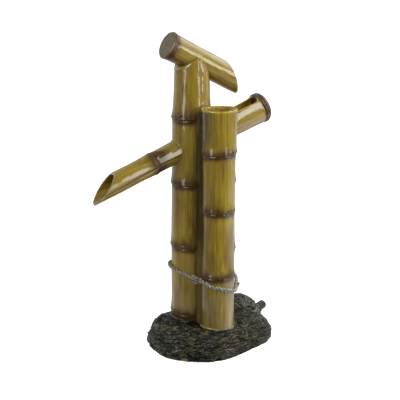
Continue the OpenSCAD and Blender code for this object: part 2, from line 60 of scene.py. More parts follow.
def noise3(x, y, z, seed=0):
    x, y, z = np.broadcast_arrays(x, y, z)
    ix, iy, iz = (np.floor(v).astype(np.int64) for v in (x, y, z))
    fx, fy, fz = x - ix, y - iy, z - iz
    ux, uy, uz = (f * f * f * (f * (f * 6 - 15) + 10) for f in (fx, fy, fz))
    out = 0.0
    for dx in (0, 1):
        wx = ux if dx else 1 - ux
        for dy in (0, 1):
            wy = uy if dy else 1 - uy
            for dz in (0, 1):
                wz = uz if dz else 1 - uz
                out = out + wx * wy * wz * _hash(ix + dx, iy + dy, iz + dz, seed)
    return out


def fbm(x, y, z, seed=0, octaves=3, gain=0.5):
    out, amp, f = 0.0, 1.0, 1.0
    for o in range(octaves):
        out = out + amp * noise3(x * f, y * f, z * f, seed + 17 * o)
        amp, f = amp * gain, f * 2.03
    return out


def cells3(x, y, z, seed=0):
    """(distance to the nearest cell point, to the second nearest, cell value)"""
    ix, iy, iz = (np.floor(v).astype(np.int64) for v in (x, y, z))
    d1 = np.full(np.shape(x), 9.0)
    d2 = np.full(np.shape(x), 9.0)
    val = np.zeros(np.shape(x))
    for dx in (-1, 0, 1):
        for dy in (-1, 0, 1):
            for dz in (-1, 0, 1):
                jx, jy, jz = ix + dx, iy + dy, iz + dz
                px = jx + 0.5 + 0.45 * _hash(jx, jy, jz, seed)
                py = jy + 0.5 + 0.45 * _hash(jx, jy, jz, seed + 1)
                pz = jz + 0.5 + 0.45 * _hash(jx, jy, jz, seed + 2)
                d = np.sqrt((x - px) ** 2 + (y - py) ** 2 + (z - pz) ** 2)
                near = d < d1
                d2 = np.where(near, d1, np.minimum(d2, d))
                val = np.where(near, _hash(jx, jy, jz, seed + 3), val)
                d1 = np.where(near, d, d1)
    return d1, d2, val


def smooth(a, b, x):
    t = np.clip((x - a) / (b - a), 0, 1)
    return t * t * (3 - 2 * t)


def mix(a, b, t):
    return a + (b - a) * t


# ------------------------------------------------------------------ meshes
def make(name, verts, faces, node=None, flat=False):
    me = bpy.data.meshes.new(name)
    v = np.asarray(verts, float) * MM + S
    me.from_pydata(v.tolist(), [], faces)
    me.update()
    bm = bmesh.new()
    bm.from_mesh(me)
    bmesh.ops.recalc_face_normals(bm, faces=bm.faces)
    bm.to_mesh(me)
    bm.free()
    me.polygons.foreach_set("use_smooth", [not flat] * len(me.polygons))
    o = bpy.data.objects.new(name, me)
    bpy.context.scene.collection.objects.link(o)
    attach(o, "root")
    if node:
        for n in ([node] if isinstance(node, str) else node):
            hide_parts(n)
    return o


def points(o):
    n = len(o.data.vertices)
    co = np.zeros(n * 3, np.float32)
    o.data.vertices.foreach_get("co", co)
    return (co.reshape(-1, 3).astype(float) - S) / MM


def put(o, name, values):
    a = o.data.attributes.get(name) or o.data.attributes.new(name, "FLOAT", "POINT")
    a.data.foreach_set("value", np.ascontiguousarray(values, np.float32))


def put_vec(o, name, values):
    a = o.data.attributes.get(name) or o.data.attributes.new(name, "FLOAT_VECTOR", "POINT")
    a.data.foreach_set("vector", np.ascontiguousarray(values, np.float32).ravel())


def loft(rings, cap0=True, cap1=True, join=False):
    """Faces of a stack of closed rings with the same number of points."""
    n, k = len(rings), len(rings[0])
    v = np.concatenate(rings)
    idx = np.arange(n * k).reshape(n, k)
    if join:
        idx = np.vstack([idx, idx[:1]])
    a, b = idx[:-1], np.roll(idx, -1, 1)[:-1]
    c, d = np.roll(idx, -1, 1)[1:], idx[1:]
    faces = np.stack([a, b, c, d], -1).reshape(-1, 4).tolist()
    if not join:
        if cap0:
            v = np.vstack([v, rings[0].mean(0)])
            m = len(v) - 1
            faces += [[m, (j + 1) % k, j] for j in range(k)]
        if cap1:
            v = np.vstack([v, rings[-1].mean(0)])
            m = len(v) - 1
            o = (n - 1) * k
            faces += [[m, o + j, o + (j + 1) % k] for j in range(k)]
    return v, faces


def catmull(p, m, closed):
    p = np.asarray(p, float)
    n = len(p)
    out = []
    last = n if closed else n - 1
    for i in range(last):
        if closed:
            p0, p1, p2, p3 = p[(i - 1) % n], p[i], p[(i + 1) % n], p[(i + 2) % n]
        else:
            p0, p1, p2, p3 = p[max(i - 1, 0)], p[i], p[i + 1], p[min(i + 2, n - 1)]
        for j in range(m):
            t = j / m
            out.append(0.5 * (2 * p1 + (p2 - p0) * t + (2 * p0 - 5 * p1 + 4 * p2 - p3) * t * t
                              + (3 * p1 - p0 - 3 * p2 + p3) * t ** 3))
    if not closed:
        out.append(p[-1])
    return np.array(out)


def resample(p, step, closed):
    q = np.vstack([p, p[:1]]) if closed else p
    s = np.concatenate([[0], np.cumsum(np.linalg.norm(np.diff(q, axis=0), axis=1))])
    n = max(4, int(round(s[-1] / step)))
    t = np.linspace(0, s[-1], n + 1)
    if closed:
        t = t[:-1]
    return np.stack([np.interp(t, s, q[:, i]) for i in range(3)], 1), s[-1]


def frames(p, closed):
    """Tangent and two normals along a path, with no twist added."""
    n = len(p)
    if closed:
        t = np.roll(p, -1, 0) - np.roll(p, 1, 0)
    else:
        t = np.gradient(p, axis=0)
    t /= np.linalg.norm(t, axis=1)[:, None]
    u = np.zeros_like(p)
    a = np.cross(t[0], [0, 0, 1.0])
    if np.linalg.norm(a) < 0.1:
        a = np.cross(t[0], [1.0, 0, 0])
    u[0] = a / np.linalg.norm(a)
    for i in range(1, n):
        w = u[i - 1] - t[i] * np.dot(u[i - 1], t[i])
        u[i] = w / np.linalg.norm(w)
    w = np.cross(t, u)
    if closed:   # spread the leftover twist round the loop
        e = u[-1] - t[0] * np.dot(u[-1], t[0])
        e /= np.linalg.norm(e)
        ang = math.atan2(np.dot(np.cross(u[0], e), t[0]), np.dot(u[0], e))
        f = -ang * np.arange(n) / n
        u, w = (np.cos(f)[:, None] * u + np.sin(f)[:, None] * w,
                -np.sin(f)[:, None] * u + np.cos(f)[:, None] * w)
    return t, u, w


def tube(p, r, k, closed=False, bumps=None):
    """Rings of a tube. r is a number or one per point; bumps(i, angles) adds to it."""
    _, u, w = frames(p, closed)
    r = np.broadcast_to(r, (len(p),))
    a = np.arange(k) * 2 * math.pi / k
    rings = []
    for i in range(len(p)):
        rr = r[i] + (bumps(i, a) if bumps else 0 * a)
        rings.append(p[i] + rr[:, None] * (np.cos(a)[:, None] * u[i] + np.sin(a)[:, None] * w[i]))
    return rings


# ------------------------------------------------------------------ materials
class Tree:
    """Small helper to write node trees."""

    def __init__(self, name):
        self.m = bpy.data.materials.new(name)
        self.m.use_nodes = True
        self.t = self.m.node_tree
        self.t.nodes.clear()
        self.out = self.t.nodes.new("ShaderNodeOutputMaterial")
        self.b = self.t.nodes.new("ShaderNodeBsdfPrincipled")
        self.t.links.new(self.b.outputs[0], self.out.inputs[0])

    def link(self, a, b):
        self.t.links.new(a, b)

    def attr(self, name, vec=False):
        n = self.t.nodes.new("ShaderNodeAttribute")
        n.attribute_name = name
        return n.outputs["Vector" if vec else "Fac"]

    def coord(self):
        return self.t.nodes.new("ShaderNodeTexCoord").outputs["Object"]

    def scaled(self, vec, scale, loc=(0, 0, 0)):
        n = self.t.nodes.new("ShaderNodeMapping")
        n.inputs["Scale"].default_value = scale
        n.inputs["Location"].default_value = loc
        self.link(vec, n.inputs["Vector"])
        return n.outputs[0]

    def noise(self, vec, scale=1.0, detail=3.0, rough=0.5, distortion=0.0):
        n = self.t.nodes.new("ShaderNodeTexNoise")
        n.inputs["Scale"].default_value = scale
        n.inputs["Detail"].default_value = detail
        n.inputs["Roughness"].default_value = rough
        n.inputs["Distortion"].default_value = distortion
        self.link(vec, n.inputs["Vector"])
        return n.outputs["Fac"]

    def voronoi(self, vec, scale, feature="F1", rand=1.0):
        n = self.t.nodes.new("ShaderNodeTexVoronoi")
        n.feature = feature
        n.inputs["Scale"].default_value = scale
        n.inputs["Randomness"].default_value = rand
        self.link(vec, n.inputs["Vector"])
        return n.outputs["Distance"]

    def math(self, op, a, b=None, c=None, clamp=False):
        n = self.t.nodes.new("ShaderNodeMath")
        n.operation = op
        n.use_clamp = clamp
        for i, v in enumerate((a, b, c)):
            if v is None:
                continue
            if isinstance(v, (int, float)):
                n.inputs[i].default_value = v
            else:
                self.link(v, n.inputs[i])
        return n.outputs[0]

    def range(self, v, a, b, lo=0.0, hi=1.0):
        n = self.t.nodes.new("ShaderNodeMapRange")
        n.clamp = True
        n.inputs["From Min"].default_value = a
        n.inputs["From Max"].default_value = b
        n.inputs["To Min"].default_value = lo
        n.inputs["To Max"].default_value = hi
        self.link(v, n.inputs["Value"])
        return n.outputs[0]

    def ramp(self, v, stops):
        n = self.t.nodes.new("ShaderNodeValToRGB")
        e = n.color_ramp.elements
        while len(e) < len(stops):
            e.new(0.5)
        for el, (pos, col) in zip(e, stops):
            el.position = pos
            el.color = (*col, 1)
        self.link(v, n.inputs[0])
        return n.outputs["Color"]

    def mixc(self, fac, a, b, mode="MIX"):
        n = self.t.nodes.new("ShaderNodeMix")
        n.data_type = "RGBA"
        n.blend_type = mode
        for socket, v in ((n.inputs[0], fac), (n.inputs[6], a), (n.inputs[7], b)):
            if isinstance(v, (int, float)):
                socket.default_value = v
            elif isinstance(v, tuple):
                socket.default_value = (*v, 1)
            else:
                self.link(v, socket)
        return n.outputs[2]

    def bump(self, height, strength, distance, normal=None):
        n = self.t.nodes.new("ShaderNodeBump")
        n.inputs["Strength"].default_value = strength
        n.inputs["Distance"].default_value = distance
        self.link(height, n.inputs["Height"])
        if normal is not None:
            self.link(normal, n.inputs["Normal"])
        return n.outputs[0]

    def set(self, **k):
        for name, v in k.items():
            s = self.b.inputs[name.replace("_", " ")]
            if isinstance(v, (int, float)):
                s.default_value = v
            elif isinstance(v, tuple):
                s.default_value = (*v, 1)
            else:
                self.link(v, s)


def bamboo_material(name, light=1.0, coat=1.0, rough=0.035):
    """Painted resin cane under thick gloss varnish. Reads cane (place along the
    cane's own axes, metres), stain (brown at joints), shade (airbrushed brown and
    painted shade in the valleys and under parts), painted_light (painted light)."""
    t = Tree(name)
    c = t.attr("cane", True)
    stain, shade = t.attr("stain"), t.attr("shade")
    fine = t.noise(t.scaled(c, (1000, 1000, 26)), 1.0, 4, 0.62)
    mid = t.noise(t.scaled(c, (380, 380, 11), (3, 1, 2)), 1.0, 3, 0.55, 0.2)
    broad = t.noise(t.scaled(c, (62, 62, 15), (7, 5, 9)), 1.0, 3, 0.5)
    grain = t.math("ADD", t.math("MULTIPLY", fine, 0.58), t.math("MULTIPLY", mid, 0.42))
    k = light
    base = t.ramp(grain, [(0.33, (0.118 * k, 0.070 * k, 0.0045 * k)),
                          (0.45, (0.195 * k, 0.128 * k, 0.0085 * k)),
                          (0.55, (0.250 * k, 0.174 * k, 0.0120 * k)),
                          (0.68, (0.312 * k, 0.232 * k, 0.023 * k))])
    base = t.mixc(t.math("MULTIPLY", t.attr("tan"), 0.85), base, t.ramp(grain, [(0.35, (0.105, 0.077, 0.027)), (0.65, (0.262, 0.205, 0.088))]))
    tone = t.ramp(broad, [(0.30, (0.68, 0.56, 0.42)), (0.46, (0.96, 0.93, 0.88)), (0.56, (1.02, 1.02, 0.98)), (0.70, (1.14, 1.20, 1.08))])
    base = t.mixc(1.0, base, tone, "MULTIPLY")
    # painted light: the colour brightened up to 3.5 times where painted_light is set
    base = t.mixc(t.attr("painted_light"), base, t.mixc(1.0, base, (3.5, 3.5, 3.5), "MULTIPLY"))
    # dark nicks along the grain
    nick = t.noise(t.scaled(c, (760, 760, 40), (11, 2, 4)), 1.0, 2, 0.5)
    nick = t.range(nick, 0.69, 0.77)
    base = t.mixc(t.math("MULTIPLY", nick, 0.6), base, (0.045, 0.024, 0.004))
    # airbrushed brown and painted shade in the valleys, between canes and under parts
    wob = t.noise(t.scaled(c, (160, 160, 60), (1, 8, 3)), 1.0, 3, 0.55)
    sh = t.math("ADD", shade, t.math("MULTIPLY", t.math("SUBTRACT", wob, 0.5), 0.30))
    sh = t.range(sh, 0.05, 0.74, 0.0, 0.94)
    base = t.mixc(sh, base, (0.030, 0.0175, 0.0030))
    # stain at the joints
    st = t.math("ADD", stain, t.math("MULTIPLY", t.math("SUBTRACT", wob, 0.5), 0.75))
    st = t.math("ADD", st, t.math("MULTIPLY", t.math("SUBTRACT", grain, 0.5), 0.7))
    st = t.range(st, 0.15, 1.05, 0.0, 0.97)
    base = t.mixc(st, base, (0.046, 0.0175, 0.0022))
    t.set(Base_Color=base, Roughness=0.5, Specular_IOR_Level=0.1, Coat_Weight=t.range(st, 0.25, 0.90, coat, coat * 0.60),
          Coat_Roughness=rough, Coat_IOR=1.62)
    h = t.math("ADD", t.math("MULTIPLY", grain, 0.6), t.math("MULTIPLY", nick, -0.6))
    t.set(Normal=t.bump(h, 0.35, 0.0006))
    orange = t.noise(t.scaled(c, (150, 150, 26), (5, 5, 1)), 1.0, 3, 0.5)
    pits = t.noise(t.scaled(c, (620, 620, 110), (2, 9, 6)), 1.0, 2, 0.5)
    blob = t.noise(t.scaled(c, (330, 330, 95), (8, 3, 5)), 1.0, 2, 0.5)
    hc = t.math("ADD", t.math("ADD", orange, t.math("MULTIPLY", pits, 0.12)), t.math("MULTIPLY", blob, 0.30))
    t.set(Coat_Normal=t.bump(hc, 0.34, 0.0010))
    return t.m


def resin_material(name, dark, lightc, rough=0.4, coat=1.0, scale=120):
    t = Tree(name)
    c = t.coord()
    n = t.noise(c, scale, 4, 0.6)
    f = t.noise(c, scale * 5, 3, 0.6)
    g = t.math("ADD", t.math("MULTIPLY", n, 0.7), t.math("MULTIPLY", f, 0.3))
    t.set(Base_Color=t.ramp(g, [(0.34, dark), (0.66, lightc)]), Roughness=rough, Specular_IOR_Level=0.2,
          Coat_Weight=coat, Coat_Roughness=0.06)
    t.set(Normal=t.bump(g, 0.4, 0.0008))
    return t.m


def plain_material(name, dark, lightc, rough, metallic=0.0, scale=400, bump=0.25, coat=0.0,
                   stretch=(1, 1, 1)):
    t = Tree(name)
    c = t.scaled(t.coord(), stretch)
    n = t.noise(c, scale, 4, 0.6)
    f = t.noise(c, scale * 6, 2, 0.5)
    g = t.math("ADD", t.math("MULTIPLY", n, 0.6), t.math("MULTIPLY", f, 0.4))
    t.set(Base_Color=t.ramp(g, [(0.35, dark), (0.65, lightc)]),
          Roughness=t.range(g, 0.3, 0.7, rough - 0.06, rough + 0.08),
          Metallic=metallic, Coat_Weight=coat, Specular_IOR_Level=0.5 if metallic else 0.28)
    t.set(Normal=t.bump(g, bump, 0.0003))
    return t.m


def rock_material():
    """Layered stone: black gaps between the ledges, dry-brushed ochre lips."""
    t = Tree("cast_rock")
    c = t.coord()
    high, ochre, plain = t.attr("high"), t.attr("ochre"), t.attr("plain")
    n1 = t.noise(c, 80, 5, 0.6)
    n2 = t.noise(c, 480, 4, 0.65)
    n3 = t.noise(c, 1500, 3, 0.6)
    g = t.math("ADD", t.math("MULTIPLY", n1, 0.40), t.math("MULTIPLY", n2, 0.60))
    base = t.ramp(g, [(0.38, (0.0040, 0.0052, 0.0022)), (0.48, (0.0130, 0.0160, 0.0074)),
                      (0.57, (0.0340, 0.0385, 0.0205)), (0.68, (0.092, 0.099, 0.062))])
    grey = t.ramp(g, [(0.38, (0.035, 0.0415, 0.0295)), (0.64, (0.152, 0.166, 0.131))])
    base = t.mixc(plain, base, grey)
    base = t.mixc(t.range(high, 0.15, 0.95, 0.0, 0.5), base, (0.070, 0.071, 0.048))
    base = t.mixc(t.range(high, -0.60, -0.02, 0.96, 0.0), base, (0.0012, 0.0012, 0.0008))
    wash = t.range(t.noise(t.scaled(c, (1, 1, 1), (4, 4, 4)), 60, 3, 0.5), 0.50, 0.66, 0.0, 0.5)
    base = t.mixc(t.math("MULTIPLY", wash, t.range(high, -0.3, 0.5)), base, (0.070, 0.052, 0.016))

    def line(coord, place, width, seed, lo, hi, wob):
        """1 on a thin line at one phase of every ledge, in long stretches."""
        w = t.noise(t.scaled(c, (230, 230, 330), (seed, 1, 2)), 1.0, 3, 0.6)
        ph = t.math("FRACT", t.math("ADD", t.math("ADD", coord, t.math("MULTIPLY", t.math("SUBTRACT", w, 0.5), wob)), 1.5 - place))
        ln = t.range(t.math("ABSOLUTE", t.math("SUBTRACT", ph, 0.5)), width * 0.45, width, 1.0, 0.0)
        m = t.noise(t.scaled(c, (62, 62, 190), (2, seed, 5)), 1.0, 3, 0.55)
        return t.math("MULTIPLY", ln, t.range(m, lo, hi))
    grit = t.noise(t.scaled(c, (400, 400, 520), (6, 6, 2)), 1.0, 3, 0.6)
    base = t.mixc(1.0, base, t.ramp(grit, [(0.37, (0.10, 0.10, 0.10)), (0.46, (0.60, 0.60, 0.58)), (0.55, (1.25, 1.25, 1.20)), (0.67, (3.0, 3.0, 2.8))]), "MULTIPLY")
    lay, lay2 = t.attr("lay"), t.attr("laytwo")
    gap1, gap2 = line(lay, 0.02, 0.10, 3, 0.36, 0.46, 0.35), line(lay2, 0.02, 0.13, 6, 0.40, 0.50, 0.5)
    gap = t.math("MAXIMUM", gap1, gap2)
    lip1, lip2 = line(lay, 0.88, 0.085, 3, 0.50, 0.56, 0.35), line(lay2, 0.86, 0.13, 6, 0.52, 0.58, 0.5)
    lips = t.math("MAXIMUM", lip1, t.math("MULTIPLY", lip2, 0.8))
    lips = t.math("MULTIPLY", lips, t.range(n2, 0.34, 0.50, 0.35, 1.0))
    lips = t.math("MULTIPLY", lips, t.range(plain, 0.2, 0.9, 1.0, 0.35))
    base = t.mixc(t.math("MULTIPLY", gap, 0.92), base, (0.0008, 0.0008, 0.0005))
    dry = t.ramp(n1, [(0.42, (0.120, 0.112, 0.055)), (0.52, (0.225, 0.172, 0.050)), (0.64, (0.260, 0.145, 0.036))])
    base = t.mixc(t.math("MULTIPLY", lips, 0.9), base, dry)
    t.set(Base_Color=base, Roughness=t.range(n2, 0.3, 0.7, 0.45, 0.65), Specular_IOR_Level=0.05,
          Coat_Weight=0.45, Coat_Roughness=0.07)
    h = t.math("ADD", t.math("MULTIPLY", n2, 0.6), t.math("MULTIPLY", n3, 0.4))
    h = t.math("ADD", h, t.math("SUBTRACT", t.math("MULTIPLY", lips, 0.35), t.math("MULTIPLY", gap, 0.75)))
    t.set(Normal=t.bump(h, 0.9, 0.0014))
    t.set(Coat_Normal=t.bump(h, 0.85, 0.0014))
    return t.m


def rope_material():
    t = Tree("cord_rope")
    c = t.coord()
    n = t.noise(c, 500, 4, 0.6)
    n2 = t.noise(c, 1500, 3, 0.6)
    crest = t.attr("crest")
    g = t.math("ADD", t.math("MULTIPLY", n, 0.6), t.math("MULTIPLY", n2, 0.4))
    base = t.ramp(g, [(0.34, (0.085, 0.072, 0.050)), (0.50, (0.25, 0.228, 0.175)), (0.64, (0.56, 0.535, 0.465))])
    # painted shade: dark in the gaps between the strands
    base = t.mixc(t.range(crest, 0.25, 0.92, 0.97, 0.0), base, (0.026, 0.018, 0.010))
    t.set(Base_Color=base, Roughness=0.6, Specular_IOR_Level=0.2, Coat_Weight=0.5, Coat_Roughness=0.15)
    t.set(Normal=t.bump(g, 0.6, 0.0005))
    return t.m


M_bamboo = bamboo_material("bamboo_gloss")
M_valley = bamboo_material("valley_satin", 0.95, 0.12, 0.30)
M_plug = resin_material("plug_matt", (0.090, 0.074, 0.040), (0.150, 0.128, 0.080), rough=0.6, coat=0.12, scale=260)
M_bead = resin_material("bead_gloss", (0.16, 0.11, 0.02), (0.30, 0.23, 0.05), rough=0.35)
M_dark = resin_material("web_gloss", (0.022, 0.013, 0.005), (0.060, 0.036, 0.012), rough=0.35)
M_rock = rock_material()
M_rope = rope_material()
M_black = plain_material("moulded_black", (0.003, 0.003, 0.003), (0.008, 0.008, 0.008), 0.36)
M_cover = plain_material("cover_sheet", (0.018, 0.018, 0.019), (0.040, 0.040, 0.041), 0.55, bump=0.5)
M_hose = plain_material("hose_rubber", (0.012, 0.012, 0.012), (0.028, 0.028, 0.027), 0.48)
M_rubber = plain_material("rubber_matt", (0.006, 0.006, 0.006), (0.015, 0.015, 0.015), 0.72, bump=0.6)
M_steel = plain_material("steel_brushed", (0.40, 0.40, 0.39), (0.62, 0.62, 0.61), 0.30, metallic=1.0,
                         scale=900, stretch=(0.15, 1, 1))


def paint(o, m):
    o.data.materials.clear()
    o.data.materials.append(m)


# ------------------------------------------------------------------ canes
TALL_T = np.array([[20, 30], [60, 30], [100, 29.9], [140, 29.8], [200, 29.4], [240, 29.1], [300, 28.7],
                   [320, 28.4], [342, 27.4], [362, 26.3], [385, 25.4], [400, 25.2], [450, 25.2]])
FRONT_T = np.array([[20, 25], [60, 24.7], [112, 24], [142, 23.2], [180, 22.4], [208, 22.7], [240, 23.1],
                    [270, 23.4], [289, 23.8], [330, 24.8], [355, 25.4]])
REAR_T = np.array([[20, 21.8], [134, 21.4], [300, 20.4], [340, 20.4]])
FRONT_P, REAR_P = np.array([14.0, -52.0]), np.array([50.0, 0.0])
ARM_T = np.array([[-180, 14.9], [-165, 15], [-122, 15.6], [-95, 15.4], [-75, 15.7], [-40, 16.1],
                  [0, 17.6], [40, 19.2], [82, 20.7], [118, 21.7], [140, 22]])
SPOUT_T = np.array([[0, 19.2], [14, 19.0], [60, 18.3], [100, 17.8], [140, 17.4]])
ARM_Z, ARM_A = 297.8, math.radians(20)
SP_O, SP_A = np.array([-39.0, 0, 439.0]), math.radians(26.5)
WALL = 2.4


def joint_bump(d):
    """Height of a cane joint, d above its groove: the cane above flares out
    to a lip, a sharp groove, and a thin collar on the cane below."""
    flare = np.where(d > 3.4, 1.50 * np.exp(-np.maximum(d - 3.4, 0) / 7.6), 1.50) + 0.22 * np.exp(-((d - 1.6) / 1.1) ** 2)
    flare = flare * smooth(-0.35, 0.55, d)
    collar = 0.36 * np.exp(-((d + 2.0) / 0.9) ** 2) + 0.18 * smooth(-6.5, -2.1, d) * smooth(0.2, -0.9, d)
    return flare + collar - 0.22 * np.exp(-((d + 0.45) / 0.5) ** 2)


def joint_stain(d):
    """Brown stain round a joint: darkest in the groove, a long fade above."""
    return np.where(d > 0, 0.95 * np.exp(-np.maximum(d - 4.6, 0) / 7.0), 0.98 * np.exp(-np.maximum(-d - 4.4, 0) / 3.6)) \
        + 0.5 * np.exp(-((d + 0.45) / 0.8) ** 2)


def z_rows(a, b, joints, step=2.6):
    z = list(np.arange(a, b, step))
    for j in joints:
        z += list(np.arange(j - 9, j + 14, 0.8)) + list(np.arange(j - 4.2, j + 3.4, 0.4))
    z = np.unique(np.round(np.clip(z, a, b), 2))
    keep = [z[0]]
    for v in z[1:]:
        if v - keep[-1] >= 0.32:
            keep.append(v)
    if keep[-1] < b:
        keep.append(b)
    return np.array(keep)


def joint_place(j, i, th, seed, tilt=0.7):
    c, s = np.cos(th), np.sin(th)
    return j + tilt * np.sin(th + 1.7 * i + seed) + 0.8 * noise3(c * 1.9 + 5 * i, s * 1.9, 0 * c, seed + 3)


def cane_radius(T, joints, z, th, seed, tilt=0.7):
    """Radius of a cane's outside at height z and angle th, with its joints,
    ribs and unevenness."""
    r = np.interp(z, T[:, 0], T[:, 1])
    c, s = np.cos(th), np.sin(th)
    for i, j in enumerate(joints):
        zj = joint_place(j, i, th, seed, tilt)
        amp = 1.0 + 0.12 * noise3(c * 3.1, s * 3.1, 0 * z + i, seed + 4)
        r = r + joint_bump(z - zj) * amp
    x, y = r * c, r * s
    r = r + 0.24 * noise3(x / 17, y / 17, z / 60, seed + 5)
    r = r + 0.11 * noise3(x / 6.5, y / 6.5, z / 34, seed + 6)
    r = r + 0.06 * noise3(x / 2.9, y / 2.9, z / 22, seed + 7)
    r = r + 0.025 * noise3(x / 4, y / 4, z / 6, seed + 8)
    return r - 0.12


def stain_of(joints, z, th, seed, strong=1.0):
    c, s = np.cos(th), np.sin(th)
    out = np.zeros(np.shape(z))
    for i, j in enumerate(joints):
        reach = 1.0 + 0.8 * noise3(c * 1.6 + 9 * i, s * 1.6, 0 * z, seed + 31)
        d = z - joint_place(j, i, th, seed)
        d = np.where(d > 3, 3 + (d - 3) / np.maximum(reach, 0.35), d)
        out = np.maximum(out, joint_stain(d))
    return out * strong


def ring_grid(z, K):
    th = np.arange(K) * 2 * math.pi / K
    return np.broadcast_to(z[:, None], (len(z), K)), np.broadcast_to(th[None], (len(z), K))


def put_cane(o, centre, to_local, stain, shade, painted_light=None):
    """Writes the attributes that the bamboo material reads."""
    p = points(o)
    # painted light that brightens the colour where it is given
    put(o, "painted_light", painted_light(p) if painted_light else np.zeros(len(p)))
    put(o, "tan", (1 - smooth(45, 175, p[:, 2])) * (0.75 + 0.5 * noise3(p[:, 0] / 16, p[:, 1] / 16, p[:, 2] / 34, 501)))
    put_vec(o, "cane", to_local(p) * MM)
    put(o, "stain", stain(p))
    # shade: airbrushed brown and painted shade
    put(o, "shade", shade(p))


def near_cane(p, centre, T, reach):
    """1 against the surface of another upright cane, 0 at reach."""
    d = np.hypot(p[:, 0] - centre[0], p[:, 1] - centre[1]) - np.interp(p[:, 2], T[:, 0], T[:, 1])
    return 1 - smooth(0.5, reach, d)


# --- tall pole: coped at the top to take the spout
EARS = np.array([[-40, 403], [-28, 404.5], [-20, 409.5], [-14, 413.5], [-8, 416.8], [-3, 418.6], [1, 418.0],
                 [6, 413.5], [11, 407], [17, 398], [30, 386], [40, 384]])


def spout_low(x, y, grow=0.0):
    zc = SP_O[2] - (x - SP_O[0]) * math.tan(SP_A)
    r = 18.75 + grow
    return np.where(np.abs(y) < r, zc - np.sqrt(np.maximum(r * r - y * y, 0)) / math.cos(SP_A), 1e3)


SHOULDER = 1.4


def pole_top(x, y):
    a = np.interp(x, EARS[:, 0], EARS[:, 1])
    return np.minimum(a, spout_low(x, y) + 0.1)


def tall_pole():
    K = 208
    joints = [45.0, 148.5, 241.5, 334.5]
    z = z_rows(26.0, 374.0, joints, 2.4)
    Z, TH = ring_grid(z, K)
    R = cane_radius(TALL_T, joints, Z, TH, 11)
    # bud scar above the upper joint
    def bud(R, Z, TH):
        a0, z0 = math.radians(204), 342.0
        da = (TH - a0) * 27.5
        rr = np.sqrt((da / 2.6) ** 2 + ((Z - z0) / 3.1) ** 2)
        return R + 1.9 * np.exp(-(rr / 0.55) ** 2) - 0.7 * np.exp(-((rr - 1.2) / 0.35) ** 2)
    R = bud(R, Z, TH)
    # pinhole in the varnish
    a1, z1 = math.radians(258), 226.0
    rr = np.hypot((TH - a1) * 29, Z - z1)
    R = R - 0.7 * np.exp(-(rr / 0.9) ** 2)
    rings = [np.stack([R[i] * np.cos(TH[i]), R[i] * np.sin(TH[i]), Z[i]], 1) for i in range(len(z))]
    th = TH[0]
    # the last stretch follows the cope
    r0 = cane_radius(TALL_T, joints, np.full(K, 400.0), th, 11)
    top = pole_top(r0 * np.cos(th), r0 * np.sin(th))
    for f in np.linspace(0.08, 1, 14):
        zz = 374 + (top - 0.7 - 374) * f
        rr = cane_radius(TALL_T, joints, zz, th, 11)
        rr = rr + (0.15 + 0.85 * np.clip(np.cos(th - math.radians(160)), 0, 1)) * np.exp(-((top - 2.4 - zz) / 2.4) ** 2)
        rr = rr - SHOULDER * np.clip(1 - (top - zz) / 14.0, 0, 1) ** 2
        rings.append(np.stack([rr * np.cos(th), rr * np.sin(th), zz], 1))
    for dr, dz in ((0.25, -0.25), (0.8, 0.0), (2.2, 0.15), (4.5, 0.1), (7.6, 0.0)):
        rr = r0 - SHOULDER - dr
        x, y = rr * np.cos(th), rr * np.sin(th)
        rings.append(np.stack([x, y, pole_top(x, y) + dz], 1))
    for rr, zz in ((17.0, 376.0), (20.8, 370.0), (22.0, 345.0), (23.5, 240.0), (25.3, 60.0), (25.5, 26.0)):
        rings.append(np.stack([rr * np.cos(th), rr * np.sin(th), np.full(K, zz)], 1))
    v, f = loft(rings, join=True)
    o = make("tall_cane", v, f, "tall_pole")

    def stain(p):
        a = np.arctan2(p[:, 1], p[:, 0])
        st = stain_of(joints, p[:, 2], a, 11)
        # brown foot
        st = np.maximum(st, (1 - smooth(47, 60, p[:, 2])) * (1.05 + 0.25 * noise3(np.cos(a) * 3, np.sin(a) * 3, p[:, 2] / 9, 19)))
        rr = np.sqrt((((a % (2 * math.pi)) - math.radians(204)) * 27.5 / 3.6) ** 2 + ((p[:, 2] - 341.5) / 3.8) ** 2)
        st = np.maximum(st, np.exp(-((rr - 0.75) / 0.5) ** 2) * 1.6)
        rr = np.hypot(((a % (2 * math.pi)) - math.radians(258)) * 29, p[:, 2] - 226)
        st = np.maximum(st, 1.3 * np.exp(-(rr / 1.1) ** 2))
        return st

    def shade(p):
        # painted shade, with airbrushed brown, beside the front and rear canes
        s = near_cane(p, FRONT_P, FRONT_T, 12 + 8 * smooth(120, 170, p[:, 2]) - 5 * smooth(285, 315, p[:, 2])) * (1 - smooth(345, 358, p[:, 2])) * (0.75 + 0.25 * smooth(110, 160, p[:, 2]))
        s = np.maximum(s, near_cane(p, REAR_P, REAR_T, 12) * (1 - smooth(275, 300, p[:, 2])))
        return s

    def painted_light(p):
        # painted light: lighter low down and in a band beside the front cane near the top
        d = np.hypot(p[:, 0] - FRONT_P[0], p[:, 1] - FRONT_P[1]) - 24.5
        low = 0.03 + 0.125 * (1 - smooth(85, 190, p[:, 2]))
        return np.clip(low * (1 - smooth(285, 320, p[:, 2])) + 0.10 * np.exp(-((d - 15) / 7.5) ** 2) * smooth(275, 300, p[:, 2]) * (1 - smooth(332, 345, p[:, 2])), 0, 1)
    put_cane(o, None, lambda p: p, stain, shade, painted_light)
    paint(o, M_bamboo)
    return o


